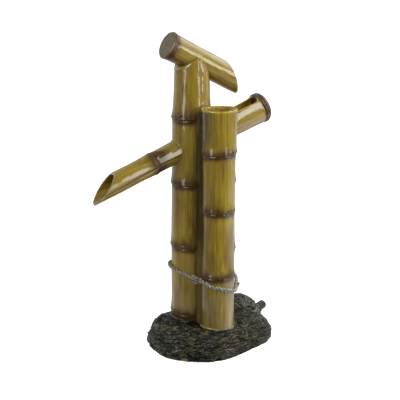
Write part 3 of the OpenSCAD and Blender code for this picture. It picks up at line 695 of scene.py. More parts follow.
def front_pole():
    K = 192
    joints = [113.8, 209.5, 293.0]
    z = z_rows(26.0, 351.0, joints, 2.4)
    Z, TH = ring_grid(z, K)
    R = cane_radius(FRONT_T, joints, Z, TH, 23)
    rings = [np.stack([R[i] * np.cos(TH[i]), R[i] * np.sin(TH[i]), Z[i]], 1) for i in range(len(z))]
    th = TH[0]
    rt = cane_radius(FRONT_T, joints, np.full(K, 350.0), th, 23)
    # the rim: level varies a little, wide on the left, thin on the right
    rim = 354.6 + 0.45 * noise3(np.cos(th) * 1.3, np.sin(th) * 1.3, 0 * th, 77) - 0.35 * np.cos(th - 2.4)
    for dr, dz in ((-0.15, -2.2), (-0.2, -1.2), (0.0, -0.5), (0.45, -0.1), (1.0, 0.0)):
        rr = rt - dr
        rings.append(np.stack([rr * np.cos(th), rr * np.sin(th), rim + dz], 1))
    # dish, its middle to the right
    wide = 2.2 + 3.0 * np.clip(-np.cos(th - math.radians(-25)), 0, 1) ** 1.5 + 0.5 * noise3(np.cos(th) * 2, np.sin(th) * 2, 0 * th, 78)
    cx, cy = 1.6, -0.8
    ex, ey = (rt - wide) * np.cos(th) , (rt - wide) * np.sin(th)
    for f, dz in ((1.0, -0.35), (0.965, -1.3), (0.90, -2.6), (0.78, -4.4), (0.6, -6.2), (0.4, -7.5), (0.2, -8.2), (0.06, -8.4)):
        x, y = cx + (ex - cx) * f, cy + (ey - cy) * f
        w = 0.35 * noise3(x / 5, y / 5, 0 * x, 79)
        rings.append(np.stack([x, y, rim + dz + w * (1 if f < 0.95 else 0)], 1))
    m = len(rings)
    v1 = np.concatenate(rings)
    v, f = loft(rings, cap0=False, cap1=True)
    # bottom
    v, f2 = loft(rings, cap0=True, cap1=True)
    v[:, 0] += FRONT_P[0]
    v[:, 1] += FRONT_P[1]
    o = make("front_cane", v, f2, "front_pole")

    def loc(p):
        q = p.copy()
        q[:, 0] -= FRONT_P[0]
        q[:, 1] -= FRONT_P[1]
        q[:, 2] += 700
        return q

    def stain(p):
        q = loc(p)
        a = np.arctan2(q[:, 1], q[:, 0])
        st = stain_of(joints, p[:, 2], a, 23)
        st = np.maximum(st, (1 - smooth(34, 40, p[:, 2])) * 0.5)
        return st

    def shade(p):
        # painted shade, with airbrushed brown, beside the tall and rear canes
        s = near_cane(p, (0, 0), TALL_T, 33 + 24 * smooth(285, 318, p[:, 2])) * (1.0 + 0.15 * smooth(110, 160, p[:, 2]))
        s = np.maximum(s, near_cane(p, REAR_P, REAR_T, 10) * 0.8)
        # less painted shade at the very top and inside the dish
        q = loc(p)
        r = np.hypot(q[:, 0], q[:, 1])
        s = s * (1 - smooth(350.8, 352.8, p[:, 2]) * 0.95)
        inside = (r < 21) & (p[:, 2] > 340)
        s = np.where(inside, s * 0.2, s)
        return s

    def painted_light(p):
        # painted highlight round the rim
        return 0.22 * smooth(351.0, 353.0, p[:, 2])
    put_cane(o, None, loc, stain, shade, painted_light=painted_light)
    paint(o, M_bamboo)
    return o


def arm_point(s, u, n):
    """Place s along the arm's axis, u sideways (+Y) and n up from the axis."""
    ca, sa = math.cos(ARM_A), math.sin(ARM_A)
    return np.stack([s * ca - n * sa, u + 0 * s, ARM_Z + s * sa + n * ca], -1)


def arm_local(p):
    ca, sa = math.cos(ARM_A), math.sin(ARM_A)
    x, z = p[:, 0], p[:, 2] - ARM_Z
    return np.stack([p[:, 1], -x * sa + z * ca, x * ca + z * sa], 1)   # u, n, s


def spout_point(s, u, n):
    ca, sa = math.cos(SP_A), math.sin(SP_A)
    return np.stack([SP_O[0] + s * ca + n * sa, u + 0 * s, SP_O[2] - s * sa + n * ca], -1)


def spout_local(p):
    ca, sa = math.cos(SP_A), math.sin(SP_A)
    x, z = p[:, 0] - SP_O[0], p[:, 2] - SP_O[2]
    return np.stack([p[:, 1], x * sa + z * ca, x * ca - z * sa], 1)


def rear_pole():
    K = 144
    joints = [134.0, 236.0]
    th = np.arange(K) * 2 * math.pi / K
    # the top is coped under the arm: surface of the arm's underside
    def under_arm(x, y):
        # n = -sqrt(R^2 - y^2) at that place
        s = x * math.cos(ARM_A) + 0 * y
        for _ in range(3):
            R = np.interp(s, ARM_T[:, 0], ARM_T[:, 1]) - 0.4
            n = -np.sqrt(np.maximum(R * R - y * y, 1.0))
            s = (x + n * math.sin(ARM_A)) / math.cos(ARM_A)
        return ARM_Z + s * math.sin(ARM_A) + n * math.cos(ARM_A)
    z = z_rows(26.0, 270.0, joints, 3.0)
    Z, TH = ring_grid(z, K)
    R = cane_radius(REAR_T, joints, Z, TH, 37)
    rings = [np.stack([R[i] * np.cos(TH[i]) + REAR_P[0], R[i] * np.sin(TH[i]), Z[i]], 1) for i in range(len(z))]
    r0 = cane_radius(REAR_T, joints, np.full(K, 290.0), th, 37)
    x, y = r0 * np.cos(th) + REAR_P[0], r0 * np.sin(th)
    top = np.maximum(under_arm(x, y), 272)
    for f in np.linspace(0.1, 1, 9):
        zz = 270 + (top - 270) * f
        rr = cane_radius(REAR_T, joints, zz, th, 37)
        rings.append(np.stack([rr * np.cos(th) + REAR_P[0], rr * np.sin(th), zz], 1))
    for k in (0.85, 0.6, 0.3, 0.08):
        x, y = r0 * k * np.cos(th) + REAR_P[0], r0 * k * np.sin(th)
        rings.append(np.stack([x, y, under_arm(x, y)], 1))
    v, f = loft(rings)
    o = make("rear_cane", v, f, "rear_pole")

    def loc(p):
        q = p.copy()
        q[:, 0] -= REAR_P[0]
        q[:, 2] += 1500
        return q

    def stain(p):
        return stain_of(joints, p[:, 2], np.arctan2(p[:, 1], p[:, 0] - REAR_P[0]), 37)

    def shade(p):
        # painted shade beside the tall and front canes and under the arm
        s = near_cane(p, (0, 0), TALL_T, 15)
        s = np.maximum(s, near_cane(p, FRONT_P, FRONT_T, 10))
        s = np.maximum(s, smooth(268, 282, p[:, 2]) * 0.35)
        return s
    put_cane(o, None, loc, stain, shade)
    paint(o, M_bamboo)
    return o


# --- pouring arm
ARM_RING, ARM_END = -65.0, 123.0
ARM_GROOVE = math.radians(101)


def arm_outer(s, a, seed=51):
    """Radius at s along the axis, angle a from the top."""
    r = np.interp(s, ARM_T[:, 0], ARM_T[:, 1])
    c, si = np.cos(a), np.sin(a)
    d = -(s - ARM_RING) + 0.5 * np.sin(a + 1.0)
    r = r + joint_bump(d) * 0.62
    # end joint: two soft ridges, then a rounded edge
    e = s - ARM_END
    r = r + 0.95 * np.exp(-((e + 3.2) / 1.25) ** 2) + 0.85 * np.exp(-((e - 0.9) / 1.5) ** 2) + 0.35 * np.exp(-((e + 0.5) / 4.5) ** 2)
    r = r - 1.6 * smooth(ARM_END + 2.2, ARM_END + 5.6, s) ** 2
    x, y = r * c, r * si
    r = r + 0.24 * noise3(x / 13, y / 13, s / 42, seed) + 0.12 * noise3(x / 6, y / 6, s / 26, seed + 1)
    r = r + 0.06 * noise3(x / 2.7, y / 2.7, s / 18, seed + 2)
    # a groove runs along the camera's side, a little under the middle
    g = (np.arctan2(-si, c) - ARM_GROOVE - 0.07 * np.sin(s / 31.0)) * 16
    r = r + (1 - smooth(-34, -18, s)) * (0.22 * np.exp(-((g + 2.6) / 1.7) ** 2) - 0.45 * np.exp(-(g / 0.85) ** 2))
    return r - 0.15


def pouring_arm():
    K = 168
    a = np.arange(K) * 2 * math.pi / K          # from the top, towards +Y
    e0, e1 = -168.5, -124.0

    def cut(n):
        return e0 + (n + 15.0) * (e1 - e0) / 30.6
    rings = []
    s = np.concatenate([np.arange(-118, ARM_RING - 12, 3.0), np.arange(ARM_RING - 12, ARM_RING + 10, 0.65),
                        np.arange(ARM_RING + 10, 108, 3.0), np.arange(108, 128.3, 0.7), [128.5]])
    # lip: from the inner surface, round the cut, to the outside
    ro = arm_outer(np.full(K, -140.0), a)
    inner_r = lambda ss: np.interp(ss, ARM_T[:, 0], ARM_T[:, 1]) - WALL + 0.10 * noise3(np.cos(a) * 3, np.sin(a) * 3, ss / 12 + 0 * a, 61)
    # inside, from the closed end to the mouth
    for ss in (121.4, 110, 95, 80, 60, 40, 20, 0, -20, -40, -60, -80, -100, -118):
        r = inner_r(np.full(K, float(ss)))
        rings.append(arm_point(np.full(K, float(ss)), r * np.sin(a), r * np.cos(a)))
    for f in (0.25, 0.5, 0.75, 0.93):
        r = inner_r(np.full(K, -135.0))
        se = cut(r * np.cos(a)) + 0.6
        ss = -118 + (se + 118) * f
        r = inner_r(ss)
        rings.append(arm_point(ss, r * np.sin(a), r * np.cos(a)))
    wob = 0.35 * noise3(np.cos(a) * 4, np.sin(a) * 4, 0 * a, 62)
    for k, back in ((0.0, 0.55), (0.12, 0.18), (0.35, 0.0), (0.65, 0.0), (0.88, 0.18), (1.0, 0.6)):
        ri = inner_r(np.full(K, -140.0))
        r = mix(ri, ro, k)
        se = cut(r * np.cos(a)) + back + wob
        r = mix(inner_r(se), arm_outer(se, a), k)
        rings.append(arm_point(se, r * np.sin(a), r * np.cos(a)))
    for f in (0.08, 0.2, 0.35, 0.5, 0.65, 0.8, 0.92):
        se = cut(ro * np.cos(a)) + 0.6 + wob
        ss = se + (-118 - se) * f
        r = arm_outer(ss, a)
        rings.append(arm_point(ss, r * np.sin(a), r * np.cos(a)))
    for ss in s:
        r = arm_outer(np.full(K, ss), a)
        rings.append(arm_point(np.full(K, ss), r * np.sin(a), r * np.cos(a)))
    # end face: rim, then the plug's seat
    r = arm_outer(np.full(K, 128.5), a)
    for k in (0.97, 0.93):
        rings.append(arm_point(np.full(K, 128.5 - (0.93 - k) * -2), r * k * np.sin(a), r * k * np.cos(a)))
    ri = inner_r(np.full(K, 121.4))
    rings.append(arm_point(np.full(K, 127.9), ri * np.sin(a), ri * np.cos(a)))
    v, f = loft(rings, join=True)
    o = make("arm_cane", v, f, "pouring_arm")
    # the notch that catches the water
    notch = np.array([[79, 15.6], [83, 15.2], [112, 15.2], [115.5, 15.9], [118.0, 18.0], [119.0, 21.5], [119.0, 34],
                      [74.5, 34], [74.5, 21.0], [76.0, 17.6]])
    cv = []
    for u in (-30.0, 30.0):
        cv += [arm_point(np.array(p[0]), np.array(u), np.array(p[1])) for p in notch]
    m = len(notch)
    cf = [list(range(m))[::-1], list(range(m, 2 * m))] + [[i, (i + 1) % m, m + (i + 1) % m, m + i] for i in range(m)]
    me = bpy.data.meshes.new("cutter")
    me.from_pydata((np.array(cv) * MM + S).tolist(), [], cf)
    bm = bmesh.new(); bm.from_mesh(me); bmesh.ops.recalc_face_normals(bm, faces=bm.faces); bm.to_mesh(me); bm.free()
    cutter = bpy.data.objects.new("cutter", me)
    bpy.context.scene.collection.objects.link(cutter)
    md = o.modifiers.new("notch", "BOOLEAN")
    md.operation, md.object, md.solver = "DIFFERENCE", cutter, "EXACT"
    dg = bpy.context.evaluated_depsgraph_get()
    new = bpy.data.meshes.new_from_object(o.evaluated_get(dg))
    o.modifiers.clear()
    old = o.data
    o.data = new
    bpy.data.meshes.remove(old)
    bpy.data.objects.remove(cutter)
    bpy.data.meshes.remove(me)
    o.data.polygons.foreach_set("use_smooth", [True] * len(o.data.polygons))
    o.data.set_sharp_from_angle(angle=math.radians(38))

    def loc(p):
        q = arm_local(p)
        q[:, 2] += 3000
        return q

    def stain(p):
        q = arm_local(p)
        u, n, ss = q[:, 0], q[:, 1], q[:, 2]
        r = np.hypot(u, n)
        an = np.arctan2(u, n)
        w = 0.8 * noise3(np.cos(an) * 1.7, np.sin(an) * 1.7, 0 * ss, 66)
        d = -(ss - ARM_RING)
        st = joint_stain(np.where(d < 0, d / (1.2 + 2.0 * np.clip(w + 0.4, 0, 1)), d / (1.0 + w * 0.5)))
        e = ss - ARM_END
        st2 = np.where(e < -2, np.exp(-np.maximum(-e - 4.6, 0) / (1.6 + 1.6 * w)), 1.0)
        st = np.maximum(st, st2)
        inner = r < np.interp(ss, ARM_T[:, 0], ARM_T[:, 1]) - 1.3
        # little stain inside the notch; inside the mouth brown stain that grows darker deeper in as painted shade
        notch_in = inner & (ss > 60) & (ss < 122.5)
        st = np.where(notch_in, 0.10, st)
        mouth_in = inner & (ss < -60)
        st = np.where(mouth_in, 0.30 + 0.5 * smooth(-125, -60, ss), st)
        # brown along the groove
        g = (-an - ARM_GROOVE - 0.07 * np.sin(ss / 31.0)) * 16
        low = 1 - smooth(-34, -18, ss)
        st = np.maximum(st, np.where(inner, 0, low * (0.95 * np.exp(-(g / 0.9) ** 2) + 0.35 * np.exp(-((g - 1.2) / 2.2) ** 2))))
        return st

    def shade(p):
        q = arm_local(p)
        # painted shade where the arm meets the tall pole
        d = np.hypot(p[:, 0], p[:, 1]) - np.interp(p[:, 2], TALL_T[:, 0], TALL_T[:, 1])
        sh = (1 - smooth(0.0, 7.0, d)) * 0.25
        return sh

    def painted_light(p):
        # painted light inside the notch and, a little, inside the mouth
        q = arm_local(p)
        inner = np.hypot(q[:, 0], q[:, 1]) < np.interp(q[:, 2], ARM_T[:, 0], ARM_T[:, 1]) - 1.3
        return np.where(inner & (q[:, 2] > 60) & (q[:, 2] < 122.5), 0.8, np.where(inner & (q[:, 2] < -60), 0.10, 0.0))
    put_cane(o, None, loc, stain, shade, painted_light)
    paint(o, M_bamboo)
    # plug in the high end
    rings = []
    rp = np.interp(124, ARM_T[:, 0], ARM_T[:, 1]) - WALL - 0.05
    for ss, k in ((121.6, 0.999), (126.2, 0.999), (127.0, 0.985), (127.15, 0.93), (127.0, 0.6), (127.1, 0.3), (127.0, 0.08)):
        r = rp * k
        w = 0.16 * noise3(r * np.cos(a) / 4, r * np.sin(a) / 4, 0 * a, 67) if k < 0.9 else 0
        rings.append(arm_point(np.full(K, ss) + w, r * np.sin(a), r * np.cos(a)))
    v, f = loft(rings)
    po = make("arm_plug", v, f, "arm_end_plug")
    paint(po, M_plug)
    return o


def spout_outer(s, a, seed=71):
    r = np.interp(s, SPOUT_T[:, 0], SPOUT_T[:, 1])
    c, si = np.cos(a), np.sin(a)
    # joint at the closed end
    r = r + 0.95 * np.exp(-((s - 2.6) / 1.7) ** 2) + 0.35 * np.exp(-((s - 6.8) / 1.3) ** 2)
    r = r - 0.9 * (1 - smooth(-0.2, 1.6, s))
    x, y = r * c, r * si
    r = r + 0.22 * noise3(x / 15, y / 15, s / 40, seed) + 0.13 * noise3(x / 6, y / 6, s / 24, seed + 1)
    r = r + 0.07 * noise3(x / 2.7, y / 2.7, s / 15, seed + 2)
    return r - 0.12


def spout():
    K = 176
    a = np.arange(K) * 2 * math.pi / K
    e0, e1 = 132.0, 96.0

    def cut(n):
        return e0 + (n + 17.4) * (e1 - e0) / 35.3
    inner = lambda ss: np.interp(ss, SPOUT_T[:, 0], SPOUT_T[:, 1]) - WALL + 0.1 * noise3(np.cos(a) * 3, np.sin(a) * 3, ss / 12 + 0 * a, 81)
    rings = []
    # closed end: the seat behind the plug, out over the rim
    for ss, rr in ((6.3, 16.9), (6.3, 17.3), (0.55, 17.35)):
        rings.append(spout_point(np.full(K, ss), rr * np.sin(a), rr * np.cos(a)))
    for ss in np.concatenate([[0.0, 0.35], np.arange(0.8, 12, 0.65), np.arange(13, 92, 2.8)]):
        r = spout_outer(np.full(K, ss), a)
        if ss == 0.0:
            r = r - 0.35
        rings.append(spout_point(np.full(K, ss), r * np.sin(a), r * np.cos(a)))
    ro = spout_outer(np.full(K, 110.0), a)
    wob = 0.35 * noise3(np.cos(a) * 4, np.sin(a) * 4, 0 * a, 82)
    se = cut(ro * np.cos(a)) - 0.6 + wob
    for f in (0.08, 0.2, 0.35, 0.5, 0.65, 0.8, 0.92):
        ss = 92 + (se - 92) * f
        r = spout_outer(ss, a)
        rings.append(spout_point(ss, r * np.sin(a), r * np.cos(a)))
    for k, back in ((1.0, -0.6), (0.88, -0.18), (0.65, 0.0), (0.35, 0.0), (0.12, -0.18), (0.0, -0.55)):
        r = mix(inner(np.full(K, 110.0)), ro, k)
        ss = cut(r * np.cos(a)) + back + wob
        r = mix(inner(ss), spout_outer(ss, a), k)
        rings.append(spout_point(ss, r * np.sin(a), r * np.cos(a)))
    for f in (0.93, 0.75, 0.5, 0.25):
        r = inner(np.full(K, 110.0))
        ss = 92 + (cut(r * np.cos(a)) - 0.6 - 92) * f
        r = inner(ss)
        rings.append(spout_point(ss, r * np.sin(a), r * np.cos(a)))
    for ss in (92, 75, 55, 35, 20, 9):
        r = inner(np.full(K, float(ss)))
        rings.append(spout_point(np.full(K, float(ss)), r * np.sin(a), r * np.cos(a)))
    v, f = loft(rings, join=True)
    o = make("spout_cane", v, f, "spout")

    def loc(p):
        q = spout_local(p)
        q[:, 2] += 4100
        return q

    def stain(p):
        q = spout_local(p)
        an = np.arctan2(q[:, 0], q[:, 1])
        w = 0.8 * noise3(np.cos(an) * 1.7, np.sin(an) * 1.7, 0 * an, 84)
        ss = q[:, 2]
        r = np.hypot(q[:, 0], q[:, 1])
        st = np.exp(-np.maximum(ss - 7.5, 0) / (4.0 + 2.2 * w)) * (0.55 + 0.45 * smooth(0.6, 2.0, ss))
        inner_ = r < np.interp(ss, SPOUT_T[:, 0], SPOUT_T[:, 1]) - 1.3
        # brown stain inside, growing darker deeper in as painted shade
        st = np.where(inner_ & (ss > 12), 0.55 + 0.5 * smooth(118, 70, ss), st)
        return st

    def shade(p):
        q = spout_local(p)
        # painted shade on the underside where the pole meets it
        d = np.hypot(p[:, 0], p[:, 1]) - 25.2
        under = smooth(-4, -12, q[:, 1])
        return (1 - smooth(-2.0, 7.0, d)) * under * 0.28
    put_cane(o, None, loc, stain, shade)
    paint(o, M_bamboo)
    # disc in the closed end
    rings = []
    for ss, rr in ((6.2, 17.0), (0.9, 17.15), (0.45, 16.95), (0.3, 16.4), (0.45, 15.6), (0.6, 13), (0.7, 10), (0.65, 7), (0.75, 4), (0.7, 1.2)):
        x, y = rr * np.cos(a), rr * np.sin(a)
        w = 0.28 * noise3(x / 7, y / 7, 0 * a, 85) + 0.08 * noise3(x / 2, y / 2, 0 * a, 86) if rr < 16 else 0
        rings.append(spout_point(np.full(K, ss) + w, rr * np.sin(a), rr * np.cos(a)))
    v, f = loft(rings)
    po = make("spout_plug", v, f, "spout_end_plug")
    paint(po, M_plug)
    return o


# ------------------------------------------------------------------ beads and webs
def bead_mesh(name, path, r, node, mat, closed=False, seed=5, k=10):
    p, L = resample(np.asarray(path), 1.1, closed)
    n = len(p)
    rr = r * (1 + 0.22 * noise3(p[:, 0] / 4, p[:, 1] / 4, p[:, 2] / 4, seed))
    if not closed:
        t = np.linspace(0, 1, n)
        rr = rr * np.clip(np.minimum(t, 1 - t) * 14, 0.25, 1)
    v, f = loft(tube(p, rr, k, closed), join=closed)
    o = make(name, v, f, node)
    paint(o, mat)
    return o


def saddle():
    """Lip on the pole's rim and the fillet from it up to the spout."""
    K = 150
    a = np.arange(K) * 2 * math.pi / K

    def ring(r, z):
        return np.stack([r * np.cos(a), r * np.sin(a), z], 1)

    def at(r):
        return r * np.cos(a), r * np.sin(a)
    def beside(r):
        x, y = at(r)
        low = spout_low(x, y, grow=-1.0)
        return np.where(low > 900, SP_O[2] - (x - SP_O[0]) * math.tan(SP_A) + 0.6, low)
    R = 25.1 - SHOULDER + 0.12 * noise3(np.cos(a) * 5, np.sin(a) * 5, 0 * a, 91)
    top = pole_top(*at(R)) + 0.25 * noise3(np.cos(a) * 4, np.sin(a) * 4, 0 * a, 92)
    rings = [ring(R - 3.0, top - 3.2), ring(R - 0.25, top - 1.3), ring(R + 0.35, top - 0.5), ring(R + 0.25, top + 0.35),
             ring(R - 0.5, top + 0.85), ring(R - 1.3, top + 0.75)]
    for d, rise in ((2.1, 1.3), (3.4, 3.0), (5.0, 5.6), (7.0, 9.0), (9.5, 13.0)):
        low = beside(R - d)
        up_ = rise * smooth(22.5, 16.0, np.abs(at(R - d)[1]))
        rings.append(ring(R - d, np.minimum(top + up_, low)))
    low = beside(R - 11.5)
    up_ = 13.0 * smooth(22.5, 16.0, np.abs(at(R - 11.5)[1]))
    rings.append(ring(R - 11.5, np.minimum(top + up_, low) - 1.0))
    rings.append(ring(R - 9.0, top - 3.5))
    v, f = loft(rings, join=True)
    o = make("saddle_lip", v, f, "saddle_bead")
    # shade: painted shade on the inner side of the lip under the spout, towards the left
    put_cane(o, None, lambda p: p + np.array([30, 0, 7000.0]),
             lambda p: np.zeros(len(p)),
             lambda p: 0.30 * smooth(23.5, 20.0, np.hypot(p[:, 0], p[:, 1])) * smooth(4, -10, p[:, 0]))
    paint(o, M_bamboo)
    return o


def arm_bead(name, side, node):
    """Bead where the arm goes into the tall pole."""
    a = np.radians(np.arange(0, 360, 4.0))
    ss = np.arange(0, 48, 0.25)[None] * side
    A, SS = np.broadcast_arrays(a[:, None], ss)
    R = arm_outer(SS, A)
    q = arm_point(SS, R * np.sin(A), R * np.cos(A))
    out = np.hypot(q[..., 0], q[..., 1]) > np.interp(q[..., 2], TALL_T[:, 0], TALL_T[:, 1])
    first = np.argmax(out, axis=1)
    pts = q[np.arange(len(a)), first]
    return bead_mesh(name, pts, 1.25, node, M_bead, closed=True, seed=93 + side)


def rear_bead():
    pts = []
    for th in np.radians(np.arange(0, 360, 6.0)):
        x, y = 20.6 * math.cos(th) + REAR_P[0], 20.6 * math.sin(th)
        s = x * math.cos(ARM_A)
        for _ in range(4):
            R = np.interp(s, ARM_T[:, 0], ARM_T[:, 1])
            n = -math.sqrt(max(R * R - y * y, 1.0))
            s = (x + n * math.sin(ARM_A)) / math.cos(ARM_A)
        pts.append([x, y, ARM_Z + s * math.sin(ARM_A) + n * math.cos(ARM_A)])
    return bead_mesh("rear_cane_bead", np.array(pts), 1.3, "rear_pole_bead", M_bead, closed=True, seed=97)


def web(name, p, Tp, q, Tq, z0, z1, shape, node, seed):
    """Resin between two upright canes: a strip with a hollow face each side.
    shape(z, side) gives the angles of its edges round each cane, the depth of
    the hollow and the height of a ridge beside the second cane."""
    p, q = np.array(p, float), np.array(q, float)
    e = (q - p) / np.linalg.norm(q - p)
    nrm = np.array([-e[1], e[0]])
    zs = np.unique(np.concatenate([np.arange(z0, z1, 3.0), [z1 - 1.2, z1 - 0.4, z1]]))
    t = np.linspace(0, 1, 21)
    rings = []
    for z in zs:
        Rp, Rq = np.interp(z, Tp[:, 0], Tp[:, 1]) - 0.7, np.interp(z, Tq[:, 0], Tq[:, 1]) - 0.7
        ring = []
        for side in (1, -1):
            a, b, dip, ridge = shape(z, side)
            a = math.radians(a + 3.0 * float(noise3(np.array(z / 30.0), np.array(side * 3.0), np.array(0.5), seed)))
            b = math.radians(b + 3.0 * float(noise3(np.array(z / 26.0), np.array(side * 3.0), np.array(4.5), seed)))
            dip = dip + 1.0 * float(noise3(np.array(z / 22.0), np.array(side * 3.0), np.array(2.5), seed + 1))
            A = p + Rp * (e * math.cos(a) + side * nrm * math.sin(a))
            B = q + Rq * (-e * math.cos(b) + side * nrm * math.sin(b))
            sink = dip * np.sin(math.pi * t) ** 0.8 - ridge * np.exp(-((t - 0.84) / 0.075) ** 2)
            sink = sink + 0.35 * noise3(t * 6.0, np.full(21, z / 7.0), np.full(21, side * 2.0), seed + 2) * np.sin(math.pi * t)
            if z > z1 - 1.5:
                sink = sink + (z - (z1 - 1.5)) * 0.4
            pt = A[None] + (B - A)[None] * t[:, None] - side * nrm[None] * sink[:, None]
            if side == -1:
                pt = pt[::-1]
            ring.append(np.column_stack([pt, np.full(21, z)]))
        rings.append(np.vstack(ring))
    v, f = loft(rings)
    o = make(name, v, f, node)
    return o


def front_web():
    def shape(z, side):
        if side == 1:
            return 34, 36, 4.5, 0.0
        low = 1 - float(smooth(118, 165, z))
        mid = float(smooth(128, 150, z)) * (1 - float(smooth(215, 232, z)))
        return 37, 60 + 18 * low, 5.5 - 4.0 * low, 1.3 * mid
    o = web("front_valley", (0, 0), TALL_T, FRONT_P, FRONT_T, 36.0, 351.5, shape, "front_web", 101)

    def stain(p):
        return np.zeros(len(p))

    def shade(p):
        # painted shade with airbrushed brown over the valley, darker in a groove low down, lighter at the top edge
        e = (14.0, -52.0)
        t = (p[:, 0] * e[0] + p[:, 1] * e[1]) / math.hypot(*e)
        groove = 0.45 * np.exp(-((t - 45.5) / 4.5) ** 2) * (1 - smooth(110, 150, p[:, 2]))
        return 0.66 + groove + 0.08 * smooth(110, 165, p[:, 2]) + 0.2 * noise3(p[:, 0] / 9, p[:, 1] / 9, p[:, 2] / 25, 104) - smooth(346, 351, p[:, 2]) * 0.45
    put_cane(o, None, lambda p: p + np.array([60, 0, 5000.0]), stain, shade)
    paint(o, M_valley)
    return o


def rear_web():
    o = web("rear_valley", (0, 0), TALL_T, REAR_P, REAR_T, 36.0, 266.0, lambda z, side: (26, 38, 3.5, 0.0), "rear_web", 111)
    # painted shade with airbrushed brown over the whole valley
    put_cane(o, None, lambda p: p + np.array([90, 0, 6000.0]), lambda p: np.zeros(len(p)),
             lambda p: 0.8 + 0.15 * noise3(p[:, 0] / 9, p[:, 1] / 9, p[:, 2] / 25, 114))
    paint(o, M_valley)
    return o


# ------------------------------------------------------------------ rock foot
ROCK_PTS = [[-79, -16], [-76, -38], [-73, -51], [-66, -63], [-52, -76], [-35, -88], [-14, -96],
            [6, -98], [20, -96], [34, -92.5], [47, -89], [62, -85], [76, -80], [88, -75.5],
            [99, -68], [109, -54], [115, -38], [118, -18], [115, 2], [104, 20], [86, 32.5],
            [62, 39.5], [36, 43], [8, 43.8], [-20, 41.5], [-44, 35.5], [-62, 23], [-74, 6]]
ROCK_C = np.array([20.0, -28.0])
_loop = catmull(ROCK_PTS, 6, True) - ROCK_C
_ang = np.arctan2(_loop[:, 1], _loop[:, 0])
_rad = np.hypot(_loop[:, 0], _loop[:, 1])
_ord = np.argsort(_ang)
_ang, _rad = _ang[_ord], _rad[_ord]


def outline(x, y, f):
    """Distance inside the foot's outline shrunk to f, negative outside."""
    cx, cy = ROCK_C[0] - 20 * (1 - f), ROCK_C[1] + 14 * (1 - f)
    dx, dy = x - cx, y - cy
    a = np.arctan2(dy, dx)
    R = np.interp(a, np.concatenate([[_ang[-1] - 2 * math.pi], _ang, [_ang[0] + 2 * math.pi]]),
                  np.concatenate([[_rad[-1]], _rad, [_rad[0]]]))
    return R * f - np.hypot(dx, dy)


def surface_nets(F, org, h):
    """Closed quad mesh of F = 0, inside positive."""
    s = F > 0
    nx, ny, nz = F.shape
    cnt = np.zeros((nx - 1, ny - 1, nz - 1), np.int8)
    for i in (0, 1):
        for j in (0, 1):
            for k in (0, 1):
                cnt += s[i:nx - 1 + i, j:ny - 1 + j, k:nz - 1 + k]
    act = (cnt > 0) & (cnt < 8)
    I, J, K = np.nonzero(act)
    acc = np.zeros((len(I), 3))
    num = np.zeros(len(I))
    corner = [(i, j, k) for i in (0, 1) for j in (0, 1) for k in (0, 1)]
    for a in corner:
        for ax in range(3):
            if a[ax] == 1:
                continue
            b = list(a)
            b[ax] = 1
            fa = F[I + a[0], J + a[1], K + a[2]]
            fb = F[I + b[0], J + b[1], K + b[2]]
            cross = (fa > 0) != (fb > 0)
            t = np.where(cross, fa / np.where(cross, fa - fb, 1), 0)
            q = np.tile(np.array(a, float), (len(I), 1))
            q[:, ax] += t
            acc += q * cross[:, None]
            num += cross
    v = (np.stack([I, J, K], 1) + acc / num[:, None]) * h + org
    idx = -np.ones(act.shape, np.int64)
    idx[I, J, K] = np.arange(len(I))
    faces = []
    for ax in range(3):
        b, c = [(1, 2), (2, 0), (0, 1)][ax]
        lo = [slice(1, -1)] * 3
        lo[ax] = slice(0, -1)
        hi = [slice(1, -1)] * 3
        hi[ax] = slice(1, None)
        s0, s1 = s[tuple(lo)], s[tuple(hi)]
        P = np.argwhere(s0 != s1)
        flip = s0[s0 != s1]
        P[:, b] += 1
        P[:, c] += 1
        d = np.zeros((4, 3), int)
        d[1, b] = -1
        d[2, b] = -1
        d[2, c] = -1
        d[3, c] = -1
        q = np.stack([idx[tuple((P + dd).T)] for dd in d], 1)
        q[~flip] = q[~flip][:, ::-1]
        faces.append(q)
    return v, np.concatenate(faces)


def smax(a, b, k):
    h = np.clip(0.5 + 0.5 * (a - b) / k, 0, 1)
    return mix(b, a, h) + k * h * (1 - h)


def smin(a, b, k):
    return -smax(-a, -b, k)


F_Z = np.array([[0.4, 0.985], [4, 1.0], [8, 1.005], [12, 1.0], [18, 0.975], [24, 0.935], [29, 0.89], [34, 0.83],
                [37, 0.775], [40, 0.69], [44, 0.60], [60, 0.4]])
HUMP_Z = np.array([[0, 34], [14, 34], [27, 34], [34, 31], [40, 26], [45, 19], [49, 11], [51.5, 3], [53, -3], [60, -20]])


